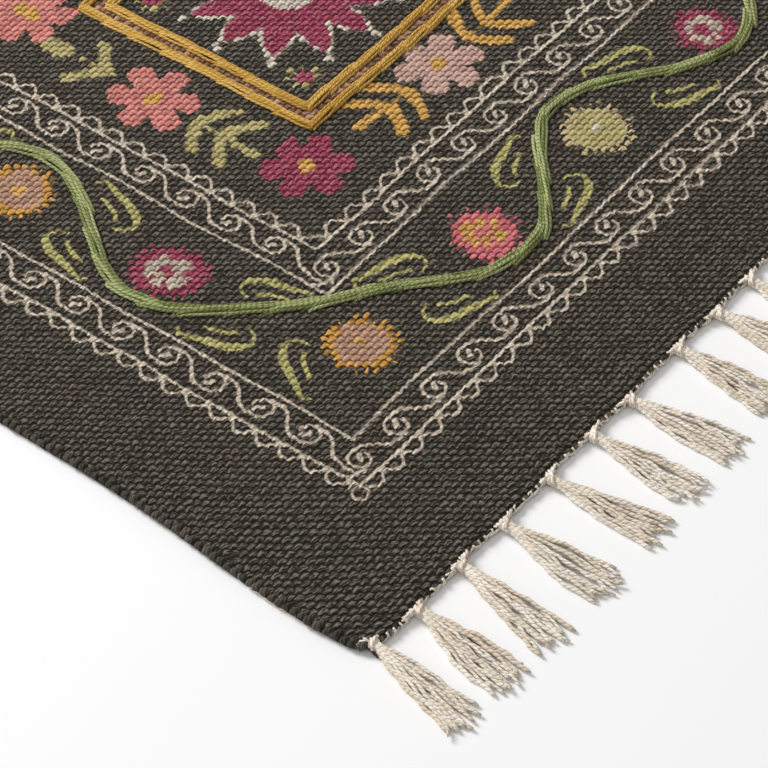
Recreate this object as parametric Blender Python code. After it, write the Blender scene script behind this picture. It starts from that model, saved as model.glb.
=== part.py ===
"""A flat-woven cotton rug with a stitched yarn vine, stitched square frames and tassels at both ends.

The rug lies on the XY plane with its length along Y and its bottom at Z = 0.
Each end has its own row of tassels, and the far end is the near end turned half a turn.
"""

import math
import random

import bmesh
import bpy
import numpy as np
from mathutils import Matrix

MM = 0.001
GAP = 0.3 * MM

# Woven ground
WIDTH = 610 * MM
LENGTH = 914 * MM
THICKNESS = 4.0 * MM
EDGE_ROUND = 1.5 * MM
CORNER_RADIUS = 7 * MM
# The selvedges draw in along the middle and flare out beside the ends.
WAIST = 4.0 * MM
FLARE = 9.0 * MM
FLARE_AT = 30 * MM
FLARE_SPREAD = 75 * MM
END_RIPPLE = 0.8 * MM
END_RIPPLE_LENGTH = 74 * MM
SELVEDGE_POINTS = 34
END_POINTS = 50

# Stitched vine, a half-round yarn
VINE_WIDTH = 5.4 * MM
VINE_HEIGHT = 2.8 * MM
VINE_STEP = 14 * MM

# Stitched frames: two rows of long overlapping stitches around each square
FRAME_PITCH = 175 * MM
FRAME_SHIFT = 2 * MM
FRAME_HALF_X = 71.8 * MM
FRAME_HALF_Y = 69.0 * MM
ROW_SPACING = 9.2 * MM
STITCH_WIDTH = 5.0 * MM
STITCH_HEIGHT = 2.5 * MM
STITCH_LENGTH = 18 * MM
STITCH_WAIST = 0.72

# Tassels: a knot and six strands that lie on the floor
STRANDS = 6
STRAND_WIDTH = 2.4 * MM
STRAND_HEIGHT = 1.9 * MM
KNOT_SIZE = (6.0 * MM, 5.6 * MM, 4.6 * MM)
KNOT_CENTRE_Z = 2.4 * MM
FLOOR_FROM = 0.60

# Each row: place along the end from the near corner (mm), lean towards that corner (degrees),
# length (mm) and spread of the tips (mm).
TASSELS = [
    (3.0, 9.8, 54, 18.5),
    (27.5, 8.4, 52, 22),
    (57.6, 8.6, 54, 20),
    (87.2, 1.3, 53, 22),
    (119.8, -3.5, 54, 19),
    (151.4, -1.0, 52, 21),
    (178.8, -4.8, 52, 21),
    (217.0, 2.0, 50, 19),
    (246.3, -2.5, 53, 20),
    (272.5, 3.0, 52, 20),
    (303.0, -1.5, 54, 21),
    (333.5, 4.0, 51, 19),
    (363.0, 0.5, 53, 21),
    (394.5, -3.0, 55, 20),
    (424.0, 2.5, 52, 22),
    (455.0, -1.0, 51, 20),
    (484.5, 3.5, 54, 19),
    (516.0, -2.0, 53, 21),
    (546.0, 1.5, 52, 20),
    (576.5, -4.5, 54, 20),
    (606.0, -8.0, 53, 19),
]

# The vine's route: distance from the left selvedge and from the near end (mm).
# It winds past each printed rosette on alternate sides, and the last row is the turn at the right corner.
VINE_SIDE = [
    (141, 457),
    (140, 446),
    (131, 430),
    (115, 412),
    (101, 397),
    (94, 382),
    (96, 366),
    (107, 350),
    (121, 334),
    (134, 318),
    (141, 301),
    (141, 285),
    (134, 272),
    (124, 257),
    (110, 240),
    (99, 225),
    (94, 210),
    (96, 195),
    (101, 183),
    (112, 170),
    (126, 154),
]
VINE_END = [
    (138, 142),
    (151, 132),
    (167, 122),
    (184, 107),
    (200, 93),
    (213, 88),
    (229, 86),
    (240, 87),
    (251, 94),
    (266, 106),
    (285, 122),
    (301, 133),
    (315, 134),
    (333, 129),
    (351, 117),
    (368, 103),
    (382, 96),
    (400, 90),
    (415, 92),
    (432, 103),
    (446, 120),
    (459, 133),
    (472, 142),
]

COLOURS = {
    "printed_cotton": ((0.045, 0.040, 0.035), 0.95),
    "natural_cotton": ((0.62, 0.52, 0.40), 0.95),
    "green_yarn": ((0.13, 0.21, 0.07), 0.90),
    "mustard_yarn": ((0.58, 0.33, 0.03), 0.90),
}


def material(name):
    """A plain matt fibre material of the named colour."""
    found = bpy.data.materials.get(name)
    if found:
        return found
    colour, roughness = COLOURS[name]
    made = bpy.data.materials.new(name)
    made.use_nodes = True
    shader = made.node_tree.nodes["Principled BSDF"]
    shader.inputs["Base Color"].default_value = (*colour, 1.0)
    shader.inputs["Roughness"].default_value = roughness
    shader.inputs["Metallic"].default_value = 0.0
    return made


def clear_scene():
    """Removes every object that the file opened with."""
    for old in list(bpy.data.objects):
        bpy.data.objects.remove(old)


def collection(name):
    """A new collection in the scene."""
    made = bpy.data.collections.new(name)
    bpy.context.scene.collection.children.link(made)
    return made


def empty(name, group, turn=0.0):
    """An empty at the origin, turned about Z."""
    made = bpy.data.objects.new(name, None)
    made.rotation_euler = (0, 0, turn)
    group.objects.link(made)
    return made


def evaluated_mesh(source, name):
    """The mesh of an object or curve as it shows, with its loose caps joined on."""
    bpy.context.view_layer.update()
    shown = source.evaluated_get(bpy.context.evaluated_depsgraph_get())
    mesh = bpy.data.meshes.new_from_object(shown)
    mesh.name = name
    work = bmesh.new()
    work.from_mesh(mesh)
    bmesh.ops.remove_doubles(work, verts=work.verts, dist=0.000005)
    bmesh.ops.recalc_face_normals(work, faces=work.faces)
    work.to_mesh(mesh)
    work.free()
    return mesh


def profile(name, points, group):
    """A closed flat curve that a yarn is drawn along."""
    data = bpy.data.curves.new(name, "CURVE")
    data.dimensions = "2D"
    data.fill_mode = "NONE"
    spline = data.splines.new("POLY")
    spline.points.add(len(points) - 1)
    for point, (x, y) in zip(spline.points, reversed(points)):
        point.co = (x, y, 0, 1)
    spline.use_cyclic_u = True
    made = bpy.data.objects.new(name, data)
    made.hide_render = True
    made.display_type = "WIRE"
    group.objects.link(made)
    return made


def yarn_curve(name, points, section, group, cyclic, radii=None):
    """A yarn of the given section along the points, its flat side down."""
    data = bpy.data.curves.new(name, "CURVE")
    data.dimensions = "3D"
    data.twist_mode = "Z_UP"
    data.bevel_mode = "OBJECT"
    data.bevel_object = section
    data.use_fill_caps = not cyclic
    spline = data.splines.new("POLY")
    spline.points.add(len(points) - 1)
    for i, (x, y, z) in enumerate(points):
        spline.points[i].co = (x, y, z, 1)
        spline.points[i].radius = radii[i] if radii else 1.0
    spline.use_cyclic_u = cyclic
    made = bpy.data.objects.new(name, data)
    group.objects.link(made)
    return made


def selvedge_inset(y):
    """How far the selvedge lies inside half the width, at a distance y from the middle."""
    from_end = LENGTH / 2 - abs(y)
    flare = FLARE * math.exp(-(((from_end - FLARE_AT) / FLARE_SPREAD) ** 2))
    return WAIST - flare


def end_edge(x):
    """How far past half the length the near end's edge reaches, at x from the middle."""
    turn = 2 * math.pi * x / END_RIPPLE_LENGTH
    return END_RIPPLE * (0.6 * math.sin(turn) + 0.4 * math.sin(2.3 * turn + 1.0))


def half_outline():
    """The near half of the rug's outline, from the middle of the left selvedge round to the right one."""
    corner = WIDTH / 2 - selvedge_inset(LENGTH / 2)
    points = []
    for i in range(SELVEDGE_POINTS):
        y = -(LENGTH / 2 - CORNER_RADIUS) * i / (SELVEDGE_POINTS - 1)
        points.append((-(WIDTH / 2 - selvedge_inset(y)), y))
    for i in range(1, 3):
        a = math.radians(30 * i)
        points.append(
            (
                -(corner - CORNER_RADIUS * (1 - math.cos(a))),
                -(LENGTH / 2 - CORNER_RADIUS * (1 - math.sin(a))),
            )
        )
    reach = corner - CORNER_RADIUS
    for i in range(END_POINTS):
        x = -reach + 2 * reach * i / (END_POINTS - 1)
        points.append((x, -(LENGTH / 2 + end_edge(x))))
    for i in range(2, 0, -1):
        a = math.radians(30 * i)
        points.append(
            (
                corner - CORNER_RADIUS * (1 - math.cos(a)),
                -(LENGTH / 2 - CORNER_RADIUS * (1 - math.sin(a))),
            )
        )
    for i in range(SELVEDGE_POINTS - 1, 0, -1):
        y = -(LENGTH / 2 - CORNER_RADIUS) * i / (SELVEDGE_POINTS - 1)
        points.append((WIDTH / 2 - selvedge_inset(y), y))
    return points


def rug_ground(group):
    """The woven ground: one flat cloth with rounded edges and an uneven outline."""
    near = half_outline()
    outline = near + [(-x, -y) for x, y in near]
    data = bpy.data.curves.new("ground_outline", "CURVE")
    data.dimensions = "2D"
    data.fill_mode = "BOTH"
    data.extrude = THICKNESS / 2 - EDGE_ROUND
    data.bevel_depth = EDGE_ROUND
    data.bevel_resolution = 0
    data.offset = -EDGE_ROUND
    spline = data.splines.new("POLY")
    spline.points.add(len(outline) - 1)
    for point, (x, y) in zip(spline.points, outline):
        point.co = (x, y, 0, 1)
    spline.use_cyclic_u = True
    curve = bpy.data.objects.new("ground_outline", data)
    group.objects.link(curve)
    mesh = evaluated_mesh(curve, "rug_ground")
    bpy.data.objects.remove(curve)
    mesh.materials.clear()
    mesh.materials.append(material("printed_cotton"))
    made = bpy.data.objects.new("rug_ground", mesh)
    made.location = (0, 0, THICKNESS / 2)
    group.objects.link(made)
    return made


def rug_point(place):
    """A place in mm from the near left corner, as metres from the rug's middle."""
    return (place[0] * MM - WIDTH / 2, place[1] * MM - LENGTH / 2)


def vine_route():
    """The closed route of the vine, evenly spaced along a smooth curve through its points."""
    upper = [(x, LENGTH / MM - y) for x, y in reversed(VINE_SIDE[1:])]
    half = [rug_point(p) for p in upper + VINE_SIDE + VINE_END]
    knots = np.array(half + [(-x, -y) for x, y in half])
    before, after, beyond = np.roll(knots, 1, 0), np.roll(knots, -1, 0), np.roll(knots, -2, 0)
    fine = []
    for t in np.linspace(0, 1, 12, endpoint=False):
        fine.append(
            0.5
            * (
                2 * knots
                + (after - before) * t
                + (2 * before - 5 * knots + 4 * after - beyond) * t**2
                + (3 * knots - before - 3 * after + beyond) * t**3
            )
        )
    line = np.stack(fine, axis=1).reshape(-1, 2)
    line = np.vstack([line, line[:1]])
    along = np.concatenate([[0], np.cumsum(np.linalg.norm(np.diff(line, axis=0), axis=1))])
    count = round(along[-1] / VINE_STEP)
    at = np.linspace(0, along[-1], count, endpoint=False)
    return [(np.interp(s, along, line[:, 0]), np.interp(s, along, line[:, 1])) for s in at]


def vine(group, guides):
    """The green yarn that winds around the rug between its borders."""
    half = VINE_WIDTH / 2
    section = profile(
        "vine_section",
        [
            (-half, 0),
            (half, 0),
            (half * 0.75, VINE_HEIGHT * 0.65),
            (0, VINE_HEIGHT),
            (-half * 0.75, VINE_HEIGHT * 0.65),
        ],
        guides,
    )
    level = THICKNESS + GAP
    route = [(x, y, level) for x, y in vine_route()]
    made = yarn_curve("vine", route, section, group, cyclic=True)
    made.data.materials.append(material("green_yarn"))
    return made


def stitched_row(name, centre, half_x, half_y, section, group):
    """One closed row of long stitches around a square, each stitch swelling between its ends."""
    corners = [(-half_x, -half_y), (half_x, -half_y), (half_x, half_y), (-half_x, half_y)]
    points = []
    radii = []
    for k in range(4):
        x0, y0 = corners[k]
        x1, y1 = corners[(k + 1) % 4]
        run = math.hypot(x1 - x0, y1 - y0)
        steps = 2 * round(run / STITCH_LENGTH)
        for i in range(steps):
            t = i / steps
            points.append(
                (centre[0] + x0 + (x1 - x0) * t, centre[1] + y0 + (y1 - y0) * t, THICKNESS + GAP)
            )
            radii.append(1.0 if i % 2 or i == 0 else STITCH_WAIST)
    made = yarn_curve(name, points, section, group, cyclic=True, radii=radii)
    made.data.materials.append(material("mustard_yarn"))
    return made


def frames(group, guides):
    """Three stitched squares in a row along the rug, each of two rows."""
    half = STITCH_WIDTH / 2
    section = profile(
        "stitch_section",
        [
            (-half, 0),
            (half, 0),
            (half * 0.6, STITCH_HEIGHT),
            (-half * 0.6, STITCH_HEIGHT),
        ],
        guides,
    )
    for k in range(3):
        centre = ((k - 1) * FRAME_SHIFT, (k - 1) * FRAME_PITCH)
        stitched_row(f"frame_outer_{k + 1}", centre, FRAME_HALF_X, FRAME_HALF_Y, section, group)
        stitched_row(
            f"frame_inner_{k + 1}",
            centre,
            FRAME_HALF_X - ROW_SPACING,
            FRAME_HALF_Y - ROW_SPACING,
            section,
            group,
        )


def strand_route(place, length, spread, rng):
    """A strand's route from the knot to its tip; place runs from -1 to 1 across the tassel."""
    reach = length * (1 - 0.05 * place**2) * rng.uniform(0.95, 1.0)
    side = (spread - STRAND_WIDTH) / 2
    lift = rng.choice((0.5, 1.1, 1.7)) * MM
    drift = rng.uniform(-0.12, 0.12) * MM
    return [
        (place * 0.6 * MM, -0.3 * MM, KNOT_CENTRE_Z - STRAND_HEIGHT / 2),
        (place * side * 0.42, -0.28 * reach, lift),
        (place * side * 0.94, -FLOOR_FROM * reach, 0),
        (place * side + drift, -reach, 0),
    ]


def tassel_mesh(index, length, spread, section, group):
    """A knot and its strands, joined into one body."""
    rng = random.Random(100 + index)
    knot = bpy.data.meshes.new("knot")
    work = bmesh.new()
    bmesh.ops.create_uvsphere(work, u_segments=8, v_segments=4, radius=0.5)
    bmesh.ops.transform(work, matrix=Matrix.Diagonal((*KNOT_SIZE, 1)), verts=work.verts)
    bmesh.ops.translate(work, vec=(0, 0, KNOT_CENTRE_Z), verts=work.verts)
    work.to_mesh(knot)
    work.free()
    body = bpy.data.objects.new("knot", knot)
    group.objects.link(body)
    strands = []
    for k in range(STRANDS):
        place = 2 * k / (STRANDS - 1) - 1
        route = strand_route(place, length, spread, rng)
        curve = yarn_curve("strand", route, section, group, cyclic=False)
        mesh = evaluated_mesh(curve, "strand")
        bpy.data.objects.remove(curve)
        strand = bpy.data.objects.new("strand", mesh)
        group.objects.link(strand)
        strands.append(strand)
        join = body.modifiers.new(f"strand_{k}", "BOOLEAN")
        join.operation = "UNION"
        join.solver = "EXACT"
        join.object = strand
    made = evaluated_mesh(body, f"tassel_{index + 1:02d}")
    for old in [body, *strands]:
        bpy.data.objects.remove(old)
    made.materials.clear()
    made.materials.append(material("natural_cotton"))
    return made


def tassels(group, guides):
    """The tassels of both ends; the far end's row is the near one turned half a turn."""
    half = STRAND_WIDTH / 2
    section = profile("strand_section", [(-half, 0), (half, 0), (0, STRAND_HEIGHT)], guides)
    ends = [empty("near_end", group), empty("far_end", group, math.pi)]
    for index, (place, lean, length, spread) in enumerate(TASSELS):
        mesh = tassel_mesh(index, length * MM, spread * MM, section, group)
        x = place * MM - WIDTH / 2
        y = -(LENGTH / 2 + end_edge(x)) - KNOT_SIZE[1] / 2 - GAP
        for end in ends:
            side = end.name.removesuffix("_end")
            made = bpy.data.objects.new(f"tassel_{side}_{index + 1:02d}", mesh)
            made.location = (x, y, 0)
            made.rotation_euler = (0, 0, -math.radians(lean))
            made.parent = end
            group.objects.link(made)


def main():
    """Builds the rug."""
    clear_scene()
    group = collection("embroidered_rug")
    guides = collection("guides")
    rug_ground(group)
    vine(group, guides)
    frames(group, guides)
    tassels(group, guides)


if __name__ == "__main__":
    main()
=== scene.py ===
"""Looks of a flat-woven cotton rug with a printed ground, stitched yarn lines and knotted tassels.

The rug's frame is the construction's: metres, Z up, length along Y. Tables and node patterns are in
millimetres on the cloth, with x counted from the left selvedge and y from the near end.
"""

import logging
import math
import random
from dataclasses import dataclass, field
from enum import Enum
from typing import Sequence, Union

import bpy
import numpy as np
from mathutils import Matrix, Vector


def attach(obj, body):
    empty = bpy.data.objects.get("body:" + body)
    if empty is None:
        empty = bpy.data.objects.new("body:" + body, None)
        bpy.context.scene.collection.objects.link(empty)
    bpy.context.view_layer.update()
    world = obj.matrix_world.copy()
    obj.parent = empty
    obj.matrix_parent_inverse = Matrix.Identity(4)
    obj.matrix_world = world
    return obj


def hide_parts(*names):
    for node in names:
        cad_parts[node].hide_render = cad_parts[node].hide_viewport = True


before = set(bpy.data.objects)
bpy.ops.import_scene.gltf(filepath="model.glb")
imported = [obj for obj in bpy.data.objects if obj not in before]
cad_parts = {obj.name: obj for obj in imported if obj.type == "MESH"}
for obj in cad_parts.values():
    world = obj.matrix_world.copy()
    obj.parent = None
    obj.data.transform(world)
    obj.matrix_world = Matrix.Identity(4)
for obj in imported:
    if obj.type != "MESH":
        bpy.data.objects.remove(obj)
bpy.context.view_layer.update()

MM = 0.001
# Millimetres of yarn in one unit of its winding map.
WINDING_MM = 10.0
LOG = logging.getLogger("rug")


def tint(red: float, green: float, blue: float) -> tuple[float, float, float, float]:
    """A colour given as 0 to 255 on screen, as the linear colour that shaders use.

    Args:
        red: Amount of red.
        green: Amount of green.
        blue: Amount of blue.

    Returns:
        The linear colour with full opacity.
    """
    linear = [((v / 255 + 0.055) / 1.055) ** 2.4 if v > 10.3 else v / 255 / 12.92 for v in (red, green, blue)]
    return (*linear, 1.0)


class Slot(Enum):
    """The record's material slots."""

    PRINTED = "printed_cotton"
    NATURAL = "natural_cotton"
    GREEN = "green_yarn"
    MUSTARD = "mustard_yarn"


@dataclass(frozen=True)
class RugSize:
    """The rug's own sizes in millimetres, as they are in the construction."""

    width: float = 610.0
    length: float = 914.0
    waist: float = 4.0
    flare: float = 9.0
    flare_at: float = 30.0
    flare_spread: float = 75.0
    ripple: float = 0.8
    ripple_length: float = 74.0
    corner: float = 9.0
    corner_stop: float = 0.8
    warps: int = 258
    picks: int = 302

    @property
    def warp_pitch(self) -> float:
        """Distance between neighbouring warps."""
        return self.width / self.warps

    @property
    def pick_pitch(self) -> float:
        """Distance between neighbouring picks of weft."""
        return self.length / self.picks

    def inset(self, y: np.ndarray) -> np.ndarray:
        """How far the selvedge lies inside half the width.

        Args:
            y: Distance from the rug's middle along its length.

        Returns:
            The inset, below zero where the selvedge flares out.
        """
        from_end = self.length / 2 - np.abs(y)
        return self.waist - self.flare * np.exp(-(((from_end - self.flare_at) / self.flare_spread) ** 2))

    def end_reach(self, x: np.ndarray) -> np.ndarray:
        """How far the near end's edge reaches past half the length.

        Args:
            x: Distance from the rug's middle across its width.

        Returns:
            The reach, above or below zero.
        """
        turn = 2 * np.pi * x / self.ripple_length
        return self.ripple * (0.6 * np.sin(turn) + 0.4 * np.sin(2.3 * turn + 1.0))

    def rounding(self, from_end: float) -> float:
        """How far a rounded corner draws an edge in.

        Args:
            from_end: Distance along the edge from where it ends.

        Returns:
            The distance, zero away from the corners.
        """
        into = max(0.0, self.corner - from_end)
        return self.corner - math.sqrt(self.corner**2 - into**2)

    def centred(self, places: Sequence[Sequence[float]]) -> np.ndarray:
        """Places counted from the near left corner, as places counted from the rug's middle.

        Args:
            places: Rows of x and y on the cloth.

        Returns:
            The same rows, centred.
        """
        return np.asarray(places, float) - (self.width / 2, self.length / 2)


RUG = RugSize()


class Field:
    """A number that changes over a surface, held as the output of a shader node."""

    def __init__(self, board: "Board", socket: bpy.types.NodeSocket) -> None:
        """Keeps the board that the node is on, and its output."""
        self.board = board
        self.socket = socket

    def __add__(self, other: "Number") -> "Field":
        """The sum."""
        return self.board.math("ADD", self, other)

    def __radd__(self, other: "Number") -> "Field":
        """The sum, with the plain number first."""
        return self.board.math("ADD", other, self)

    def __sub__(self, other: "Number") -> "Field":
        """The difference."""
        return self.board.math("SUBTRACT", self, other)

    def __rsub__(self, other: "Number") -> "Field":
        """The difference, with the plain number first."""
        return self.board.math("SUBTRACT", other, self)

    def __mul__(self, other: "Number") -> "Field":
        """The product."""
        return self.board.math("MULTIPLY", self, other)

    def __rmul__(self, other: "Number") -> "Field":
        """The product, with the plain number first."""
        return self.board.math("MULTIPLY", other, self)

    def __truediv__(self, other: "Number") -> "Field":
        """The quotient."""
        return self.board.math("DIVIDE", self, other)

    def __pow__(self, other: "Number") -> "Field":
        """The power."""
        return self.board.math("POWER", self, other)

    def __abs__(self) -> "Field":
        """The size without its sign."""
        return self.board.math("ABSOLUTE", self)

    def over(self, other: "Number") -> "Field":
        """One where this is greater than the other, else zero."""
        return self.board.math("GREATER_THAN", self, other)

    def under(self, other: "Number") -> "Field":
        """One where this is less than the other, else zero."""
        return self.board.math("LESS_THAN", self, other)

    def least(self, other: "Number") -> "Field":
        """The smaller of the two."""
        return self.board.math("MINIMUM", self, other)

    def most(self, other: "Number") -> "Field":
        """The greater of the two."""
        return self.board.math("MAXIMUM", self, other)

    def nearest(self) -> "Field":
        """The nearest whole number."""
        return self.board.math("ROUND", self)

    def floor(self) -> "Field":
        """The whole number below."""
        return self.board.math("FLOOR", self)

    def modulo(self, other: "Number") -> "Field":
        """What is left over from whole multiples of the other."""
        return self.board.math("FLOORED_MODULO", self, other)

    def root(self) -> "Field":
        """The square root, of zero where this is below zero."""
        return self.board.math("SQRT", self.board.math("MAXIMUM", self, 0.0))

    def cosine(self) -> "Field":
        """The cosine."""
        return self.board.math("COSINE", self)

    def sine(self) -> "Field":
        """The sine."""
        return self.board.math("SINE", self)


Number = Union[float, Field]


class Board:
    """Adds nodes to one node tree and hands their outputs on as fields."""

    def __init__(self, tree: bpy.types.NodeTree) -> None:
        """Keeps the tree and counts the nodes that it gets."""
        self.tree = tree
        self.count = 0

    def node(self, kind: str, **settings: object) -> bpy.types.Node:
        """Adds one node.

        Args:
            kind: The node's type name.
            settings: Its settings by name.

        Returns:
            The node, placed after the last one.
        """
        made = self.tree.nodes.new(kind)
        made.location = (180 * (self.count % 40), -220 * (self.count // 40))
        self.count += 1
        for name, value in settings.items():
            setattr(made, name, value)
        return made

    def feed(self, socket: bpy.types.NodeSocket, value: object) -> None:
        """Sets an input, or links it where the value comes from another node.

        Args:
            socket: The input.
            value: A field, another node's output, or a plain value.
        """
        if isinstance(value, Field):
            self.tree.links.new(value.socket, socket)
        elif isinstance(value, bpy.types.NodeSocket):
            self.tree.links.new(value, socket)
        else:
            socket.default_value = value

    def math(self, operation: str, *values: Number) -> Field:
        """One Math node.

        Args:
            operation: What it does.
            values: Its inputs in order.

        Returns:
            Its result.
        """
        made = self.node("ShaderNodeMath", operation=operation)
        for socket, value in zip(made.inputs, values):
            self.feed(socket, value)
        return Field(self, made.outputs[0])

    def smooth(self, value: Number, low: float, high: float) -> Field:
        """A soft step from zero at low to one at high, which may also lie below it.

        Args:
            value: What the step follows.
            low: Where the result is zero.
            high: Where the result is one.

        Returns:
            The step.
        """
        made = self.node("ShaderNodeMapRange", interpolation_type="SMOOTHSTEP")
        self.feed(made.inputs[0], value)
        made.inputs[1].default_value = low
        made.inputs[2].default_value = high
        return Field(self, made.outputs[0])

    def pick(self, mask: Number, off: Number, on: Number) -> Field:
        """A number mixed from two by a mask.

        Args:
            mask: Zero for off, one for on.
            off: The number where the mask is zero.
            on: The number where the mask is one.

        Returns:
            The mixed number.
        """
        made = self.node("ShaderNodeMix", data_type="FLOAT")
        self.feed(made.inputs[0], mask)
        self.feed(made.inputs[2], off)
        self.feed(made.inputs[3], on)
        return Field(self, made.outputs[0])

    def blend(self, mask: Number, off: object, on: object, way: str = "MIX") -> bpy.types.NodeSocket:
        """A colour mixed from two by a mask.

        Args:
            mask: Zero for off, one for on.
            off: The colour below.
            on: The colour above.
            way: How the colours are mixed.

        Returns:
            The mixed colour's output.
        """
        made = self.node("ShaderNodeMix", data_type="RGBA", blend_type=way)
        self.feed(made.inputs[0], mask)
        self.feed(made.inputs[6], off)
        self.feed(made.inputs[7], on)
        return made.outputs[2]

    def chart(self, place: Number, colours: Sequence[Sequence[float]]) -> bpy.types.NodeSocket:
        """One of a row of colours, by its whole number.

        Args:
            place: The colour's number, from zero.
            colours: The colours in order.

        Returns:
            The chosen colour's output.
        """
        made = self.node("ShaderNodeValToRGB")
        ramp = made.color_ramp
        ramp.interpolation = "CONSTANT"
        for i, colour in enumerate(colours):
            stop = ramp.elements[0] if i == 0 else ramp.elements.new(i / len(colours))
            stop.color = colour
        ramp.elements.remove(ramp.elements[-1])
        self.feed(made.inputs[0], (place + 0.5) / len(colours))
        return made.outputs[0]

    def split(self, vector: object) -> tuple[Field, Field, Field]:
        """A vector's three parts.

        Args:
            vector: The vector's output.

        Returns:
            Its x, y and z.
        """
        made = self.node("ShaderNodeSeparateXYZ")
        self.feed(made.inputs[0], vector)
        return tuple(Field(self, s) for s in made.outputs)

    def join(self, x: Number, y: Number, z: Number = 0.0) -> bpy.types.NodeSocket:
        """A vector from its parts.

        Args:
            x: Its first part.
            y: Its second part.
            z: Its third part.

        Returns:
            The vector's output.
        """
        made = self.node("ShaderNodeCombineXYZ")
        for socket, value in zip(made.inputs, (x, y, z)):
            self.feed(socket, value)
        return made.outputs[0]

    def noise(self, vector: object, scale: float, detail: float = 2.0) -> Field:
        """Soft noise from zero to one.

        Args:
            vector: Where it is read.
            scale: How fine it is.
            detail: How many finer layers it has.

        Returns:
            The noise.
        """
        made = self.node("ShaderNodeTexNoise")
        self.feed(made.inputs["Vector"], vector)
        made.inputs["Scale"].default_value = scale
        made.inputs["Detail"].default_value = detail
        return Field(self, made.outputs[0])

    def length(self, x: Number, y: Number) -> Field:
        """The length of a flat vector.

        Args:
            x: Its first part.
            y: Its second part.

        Returns:
            The length.
        """
        return (x * x + y * y).root()

    def bar(self, x: Number, y: Number, start: Sequence[float], end: Sequence[float]) -> Field:
        """How far a place is from a straight bar.

        Args:
            x: The place's first part.
            y: The place's second part.
            start: One end of the bar.
            end: The other end.

        Returns:
            The distance.
        """
        dx, dy = end[0] - start[0], end[1] - start[1]
        run = math.hypot(dx, dy)
        ex, ey = dx / run, dy / run
        px, py = x - start[0], y - start[1]
        along = px * ex + py * ey
        beyond = (along * -1.0).most(along - run).most(0.0)
        off = px * ey - py * ex
        return self.length(beyond, off)

    def curve(self, value: Number, places: Sequence[tuple[float, float]]) -> Field:
        """A smooth curve through places, read at a value.

        Args:
            value: Where it is read.
            places: The curve's places in rising order of their first number.

        Returns:
            The curve's second number there.
        """
        low, span = places[0][0], places[-1][0] - places[0][0]
        base = min(p[1] for p in places)
        rise = max(p[1] for p in places) - base
        made = self.node("ShaderNodeFloatCurve")
        line = made.mapping.curves[0]
        for x, y in places[1:-1]:
            line.points.new((x - low) / span, (y - base) / rise)
        line.points[0].location = (0.0, (places[0][1] - base) / rise)
        line.points[len(places) - 1].location = (1.0, (places[-1][1] - base) / rise)
        made.mapping.update()
        self.feed(made.inputs["Value"], (value - low) * (1.0 / span))
        return Field(self, made.outputs[0]) * rise + base


class Group:
    """A node group that several finishes place with their own values."""

    def __init__(self, name: str, takes: dict[str, str], gives: dict[str, str]) -> None:
        """Makes the group and its sockets.

        Args:
            name: The group's name.
            takes: Each input's name and kind.
            gives: Each output's name and kind.
        """
        self.tree = bpy.data.node_groups.new(name, "ShaderNodeTree")
        for label, kind in takes.items():
            self.tree.interface.new_socket(label, in_out="INPUT", socket_type=kind)
        for label, kind in gives.items():
            self.tree.interface.new_socket(label, in_out="OUTPUT", socket_type=kind)
        self.board = Board(self.tree)
        self.inside = self.board.node("NodeGroupInput")
        self.result = self.board.node("NodeGroupOutput")

    def take(self, label: str) -> Field:
        """One of the group's inputs, from within."""
        return Field(self.board, self.inside.outputs[label])

    def give(self, label: str, value: object) -> None:
        """Sends a value to one of the group's outputs."""
        self.board.feed(self.result.inputs[label], value)

    def place(self, board: Board, **values: object) -> bpy.types.Node:
        """Places the group in a finish.

        Args:
            board: The finish's board.
            values: Values for the inputs by name, with _ for a space.

        Returns:
            The placed node.
        """
        made = board.node("ShaderNodeGroup", node_tree=self.tree)
        for label, value in values.items():
            board.feed(made.inputs[label.replace("_", " ")], value)
        return made


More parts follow.
